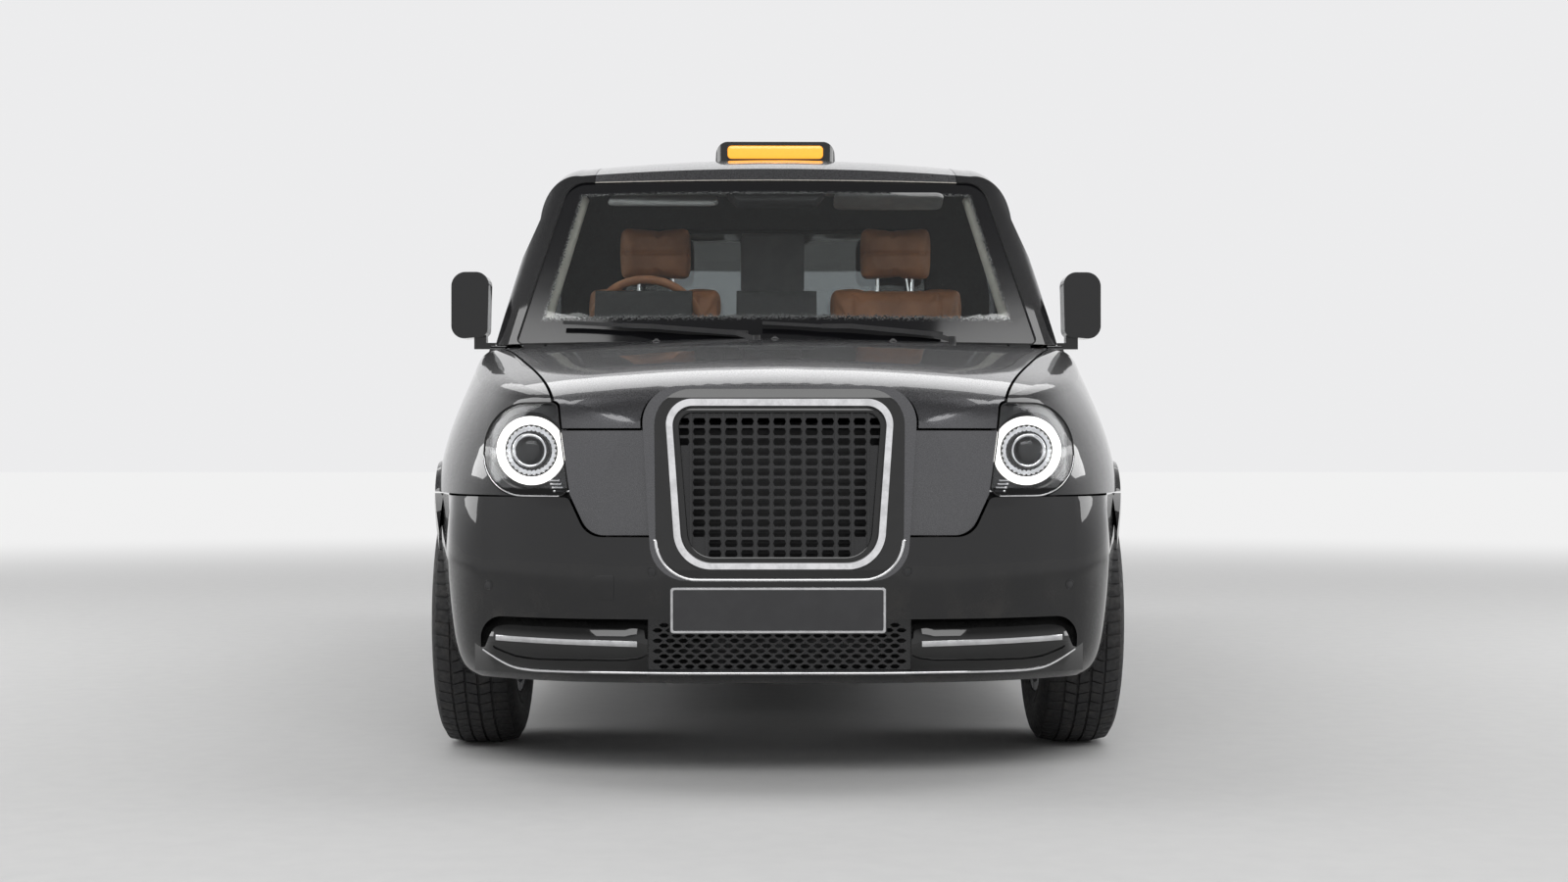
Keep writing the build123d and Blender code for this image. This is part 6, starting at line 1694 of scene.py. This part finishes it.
@dataclass
class RearTrim:
    """Lamps, plate, bar, sensors and wiper of the tail."""

    def build(self) -> None:
        """Makes every piece."""
        self.plate()
        self.lamps()
        self.sensors()
        self.wiper()

    def plate(self) -> None:
        """The blank yellow plate under a gloss bar with two small lamps, and the high brake lamp."""
        place, normal = land("tailgate", (0, 3, 0.835), (0, -1, 0))
        board = Bench.plate("rear_plate_blank", [oblong(0.520, 0.111, 0.008)],
                            facing(FACING_BACK, place + Vector((0, 0.0005, 0))), 0.003, 0.0006)
        fit(board, YELLOW_PLATE, "tailgate")
        pads = [Bench.block("pad", (s * 0.22 - 0.03, 2.372, 0.80), (s * 0.22 + 0.03, place.y + 0.001, 0.87),
                            0.004) for s in (-1, 1)]
        bar = Bench.block("bar", (-0.34, 2.369, 0.925), (0.34, 2.400, 0.965), 0.009)
        fit(Bench.smooth(Bench.join("tailgate_bar", [bar, *pads])), GLOSS_BLACK, "tailgate")
        lamps = [Bench.block("lamp", (s * 0.13 - 0.02, 2.388, 0.921), (s * 0.13 + 0.02, 2.397, 0.927), 0.001)
                 for s in (-1, 1)]
        fit(Bench.join("plate_lamps", lamps), WHITE_LENS, "tailgate")
        place, normal = land("tailgate", (0, 3, 1.70), (0, -1, 0))
        lamp = Bench.plate("high_brake_lamp", [oblong(0.30, 0.020, 0.006)],
                           turned(place - normal * 0.002, normal), 0.006, 0.002)
        fit(Bench.smooth(lamp), RED_LENS, "tailgate")

    def lamps(self) -> None:
        """Amber and clear bands on the tail lamps, a dark seam round each and reflectors under them."""
        for side in Side:
            def outside(middle: Vector, normal: Vector, sign: int = side.value) -> bool:
                """Whether a face looks back on this side."""
                return normal.y > 0.3 and middle.x * sign > 0

            for name, low, high, finish in (("amber", 0.785, 0.838, AMBER_LENS),
                                            ("clear", 0.848, 0.888, WHITE_LENS)):
                band = Bench.peel(f"tail_{name}_{side.word}", "tail_lamps", outside)
                Bench.cut(band, (0, 0, low), (0, 0, -1), True)
                Bench.cut(band, (0, 0, high), Axis.Z.value, True)
                Bench.cut(band, (side.value * 0.728, 0, 0), (-side.value, 0, 0), True)
                Bench.change(band, "SOLIDIFY", thickness=0.0016, offset=1.0)
                fit(band, finish, "body")
            seam = Bench.edging(f"tail_seam_{side.word}", "tail_lamps", outside, 0.0026)
            fit(Bench.smooth(seam, 60), RUBBER_SEAL, "body")
            place, normal = land("rear_bumper", (side.value * 0.66, 3, 0.40), (0, -1, 0))
            mark = Bench.plate(f"rear_reflector_{side.word}", [oblong(0.12, 0.028, 0.008)],
                               turned(place - normal * 0.003, normal), 0.007, 0.002)
            fit(Bench.smooth(mark), RED_LENS, "body")

    def sensors(self) -> None:
        """Four round parking sensors in the rear bumper."""
        for side in Side:
            for count, x in enumerate((0.24, 0.56)):
                name = f"rear_sensor_{side.word}_{count + 1}"
                parking_sensor(name, "rear_bumper", (side.value * x, 3, 0.50), (0, -1, 0))

    def wiper(self) -> None:
        """The rear wiper, parked along the foot of the tail window."""
        def off(x: float, z: float, out: float) -> Vector:
            """A point off the window or the tailgate under it."""
            node = "tailgate_glass" if z > 1.185 else "tailgate"
            place, normal = land(node, (x, 3, z), (0, -1, 0))
            return place + normal * out

        heel = off(0.0, 1.135, 0.0)
        _, normal = land("tailgate", (0, 3, 1.135), (0, -1, 0))
        boss = Bench.drum("boss", heel - normal * 0.004, heel + normal * 0.030, 0.019, 32, 0.005)
        arm = Bench.bead("arm",
                         [off(0.0, 1.135, 0.026), off(-0.06, 1.165, 0.028), off(-0.16, 1.208, 0.024),
                          off(-0.205, 1.225, 0.016)], 0.0062)
        blade = Bench.bead("blade",
                           [off(0.03, 1.215, 0.012), off(-0.12, 1.224, 0.012), off(-0.27, 1.230, 0.012),
                            off(-0.40, 1.234, 0.012)], 0.0058)
        lip = Bench.bead("lip",
                         [off(0.03, 1.215, 0.005), off(-0.12, 1.224, 0.005), off(-0.27, 1.230, 0.005),
                          off(-0.40, 1.234, 0.005)], 0.0042)
        fit(Bench.smooth(Bench.join("rear_wiper", [boss, arm, blade, lip]), 60), SATIN_BLACK, "tailgate")


@dataclass
class SideTrim:
    """Handles and seals of one side."""

    side: Side

    def build(self) -> None:
        """Makes the door handles and the rubber round every window."""
        word, sign = self.side.word, self.side.value
        for node, y in (("front_door", -0.165), ("rear_door", 0.13)):
            self.handle(f"{node}_{word}", y)
        rows = [(f"front_door_glass_{word}", f"front_door_{word}"),
                (f"rear_door_glass_{word}", f"rear_door_{word}"),
                ("quarter_windows", "body")]
        for node, body in rows:
            seal = Bench.edging(f"{node}_seal_{word}", node, lambda c, n: n.x * sign > 0.6 and c.x * sign > 0,
                                0.0034)
            fit(Bench.smooth(seal, 60), RUBBER_SEAL, body)

    def handle(self, body: str, y: float) -> None:
        """A bar handle on two feet over a dark cup."""
        sign = self.side.value
        place, normal = land(body, (sign * 2, y, 0.985), (-sign, 0, 0))
        there = Matrix.Translation(place) @ Matrix((Axis.Y.value, normal.cross(Vector(Axis.Y.value)),
                                                    normal)).transposed().to_4x4()
        bar = Bench.plate("bar", [oblong(0.195, 0.026, 0.0125)], there @ Matrix.Translation((0, 0, 0.021)),
                          0.012, 0.005)
        feet = [Bench.block("foot", (x - 0.015, -0.010, -0.004), (x + 0.015, 0.010, 0.024),
                            0.005) for x in (-0.078, 0.078)]
        for foot in feet:
            foot.data.transform(there)
        whole = Bench.smooth(Bench.weld(Bench.join(f"handle_{body}", [bar, *feet])))
        fit(whole, BLACK_PAINT, body)
        cup = Bench.plate(f"handle_cup_{body}", [oblong(0.110, 0.058, 0.028)],
                          there @ Matrix.Translation((0, 0, -0.002)), 0.0035, 0.0012)
        fit(Bench.smooth(Bench.weld(cup)), SATIN_BLACK, body)


@dataclass
class EngineBay:
    """What shows under the open bonnet and behind the grille."""

    def build(self) -> None:
        """A cover on the engine, a radiator between the rails, two hoses, a battery and a tank."""
        cover = Bench.block("cover", (-0.27, -1.80, 0.872), (0.27, -1.40, 0.925), 0.022)
        ribs = [Bench.block("rib", (-0.24, -1.76 + 0.062 * i, 0.92), (0.24, -1.735 + 0.062 * i, 0.934),
                            0.006) for i in range(6)]
        cap = Bench.drum("cap", (0.19, -1.44, 0.92), (0.19, -1.44, 0.955), 0.03, 24, 0.005)
        fit(Bench.smooth(Bench.join("engine_cover", [cover, *ribs, cap])), SATIN_BLACK, "body")
        core = Bench.block("core", (-0.344, -2.262, 0.54), (0.344, -2.222, 0.86), 0.004)
        tanks = [Bench.block("tank", (s * 0.318 - 0.026, -2.27, 0.525), (s * 0.318 + 0.026, -2.212, 0.875),
                             0.010) for s in (-1, 1)]
        fins = [Bench.block("fin", (-0.29, -2.266, 0.55 + 0.0125 * i), (0.29, -2.218, 0.553 + 0.0125 * i))
                for i in range(24)]
        fit(Bench.smooth(Bench.join("radiator", [core, *tanks, *fins])), SATIN_BLACK, "body")
        for side in Side:
            s = side.value
            path = [(s * 0.30, -2.225, 0.80 - s * 0.06), (s * 0.30, -2.12, 0.80 - s * 0.06),
                    (s * 0.24, -1.98, 0.82), (s * 0.20, -1.80, 0.80)]
            fit(Bench.smooth(Bench.bead(f"coolant_hose_{side.word}", path, 0.019, sides=4), 60), RUBBER_SEAL,
                "body")
        battery = Bench.block("battery", (0.350, -1.345, 0.598), (0.500, -1.195, 0.775), 0.006)
        posts = [Bench.drum("post", (0.375 + 0.1 * i, -1.225, 0.77), (0.375 + 0.1 * i, -1.225, 0.795), 0.010,
                            20, 0.002) for i in (0, 1)]
        fit(Bench.smooth(Bench.join("starter_battery", [battery, *posts])), DARK_GREY, "body")
        tank = Bench.block("tank", (-0.500, -1.345, 0.598), (-0.352, -1.205, 0.76), 0.022)
        lid = Bench.drum("lid", (-0.426, -1.275, 0.755), (-0.426, -1.275, 0.795), 0.027, 24, 0.004)
        fit(Bench.smooth(Bench.join("washer_tank", [tank, lid])), PALE_TRIM, "body")


@dataclass
class GlassSeals:
    """The rubber round the windscreen and the tail window."""

    def build(self) -> None:
        """Makes both."""
        for node, body, sign in (("windscreen", "body", -1), ("tailgate_glass", "tailgate", 1)):
            seal = Bench.edging(f"{node}_seal", node, lambda c, n, s=sign: n.y * s > 0.3 and n.z > -0.2,
                                0.0036)
            fit(Bench.smooth(seal, 60), RUBBER_SEAL, body)


def main() -> None:
    """Builds the scene in order."""
    Studio().build()
    Bodywork().build()
    NoseTrim().build()
    RoofSign().build()
    model = Wheel(Side.LEFT, True)
    model.build()
    for side, front in ((Side.RIGHT, True), (Side.LEFT, False), (Side.RIGHT, False)):
        Wheel(side, front).build(model)
    for side in Side:
        Headlamp(side).build()
        DoorMirror(side).build()
        Caliper(side, True).build()
        Caliper(side, False).build()
        SideTrim(side).build()
    RearTrim().build()
    GlassSeals().build()
    EngineBay().build()
    Cabin().build()


if __name__ == "__main__":
    main()
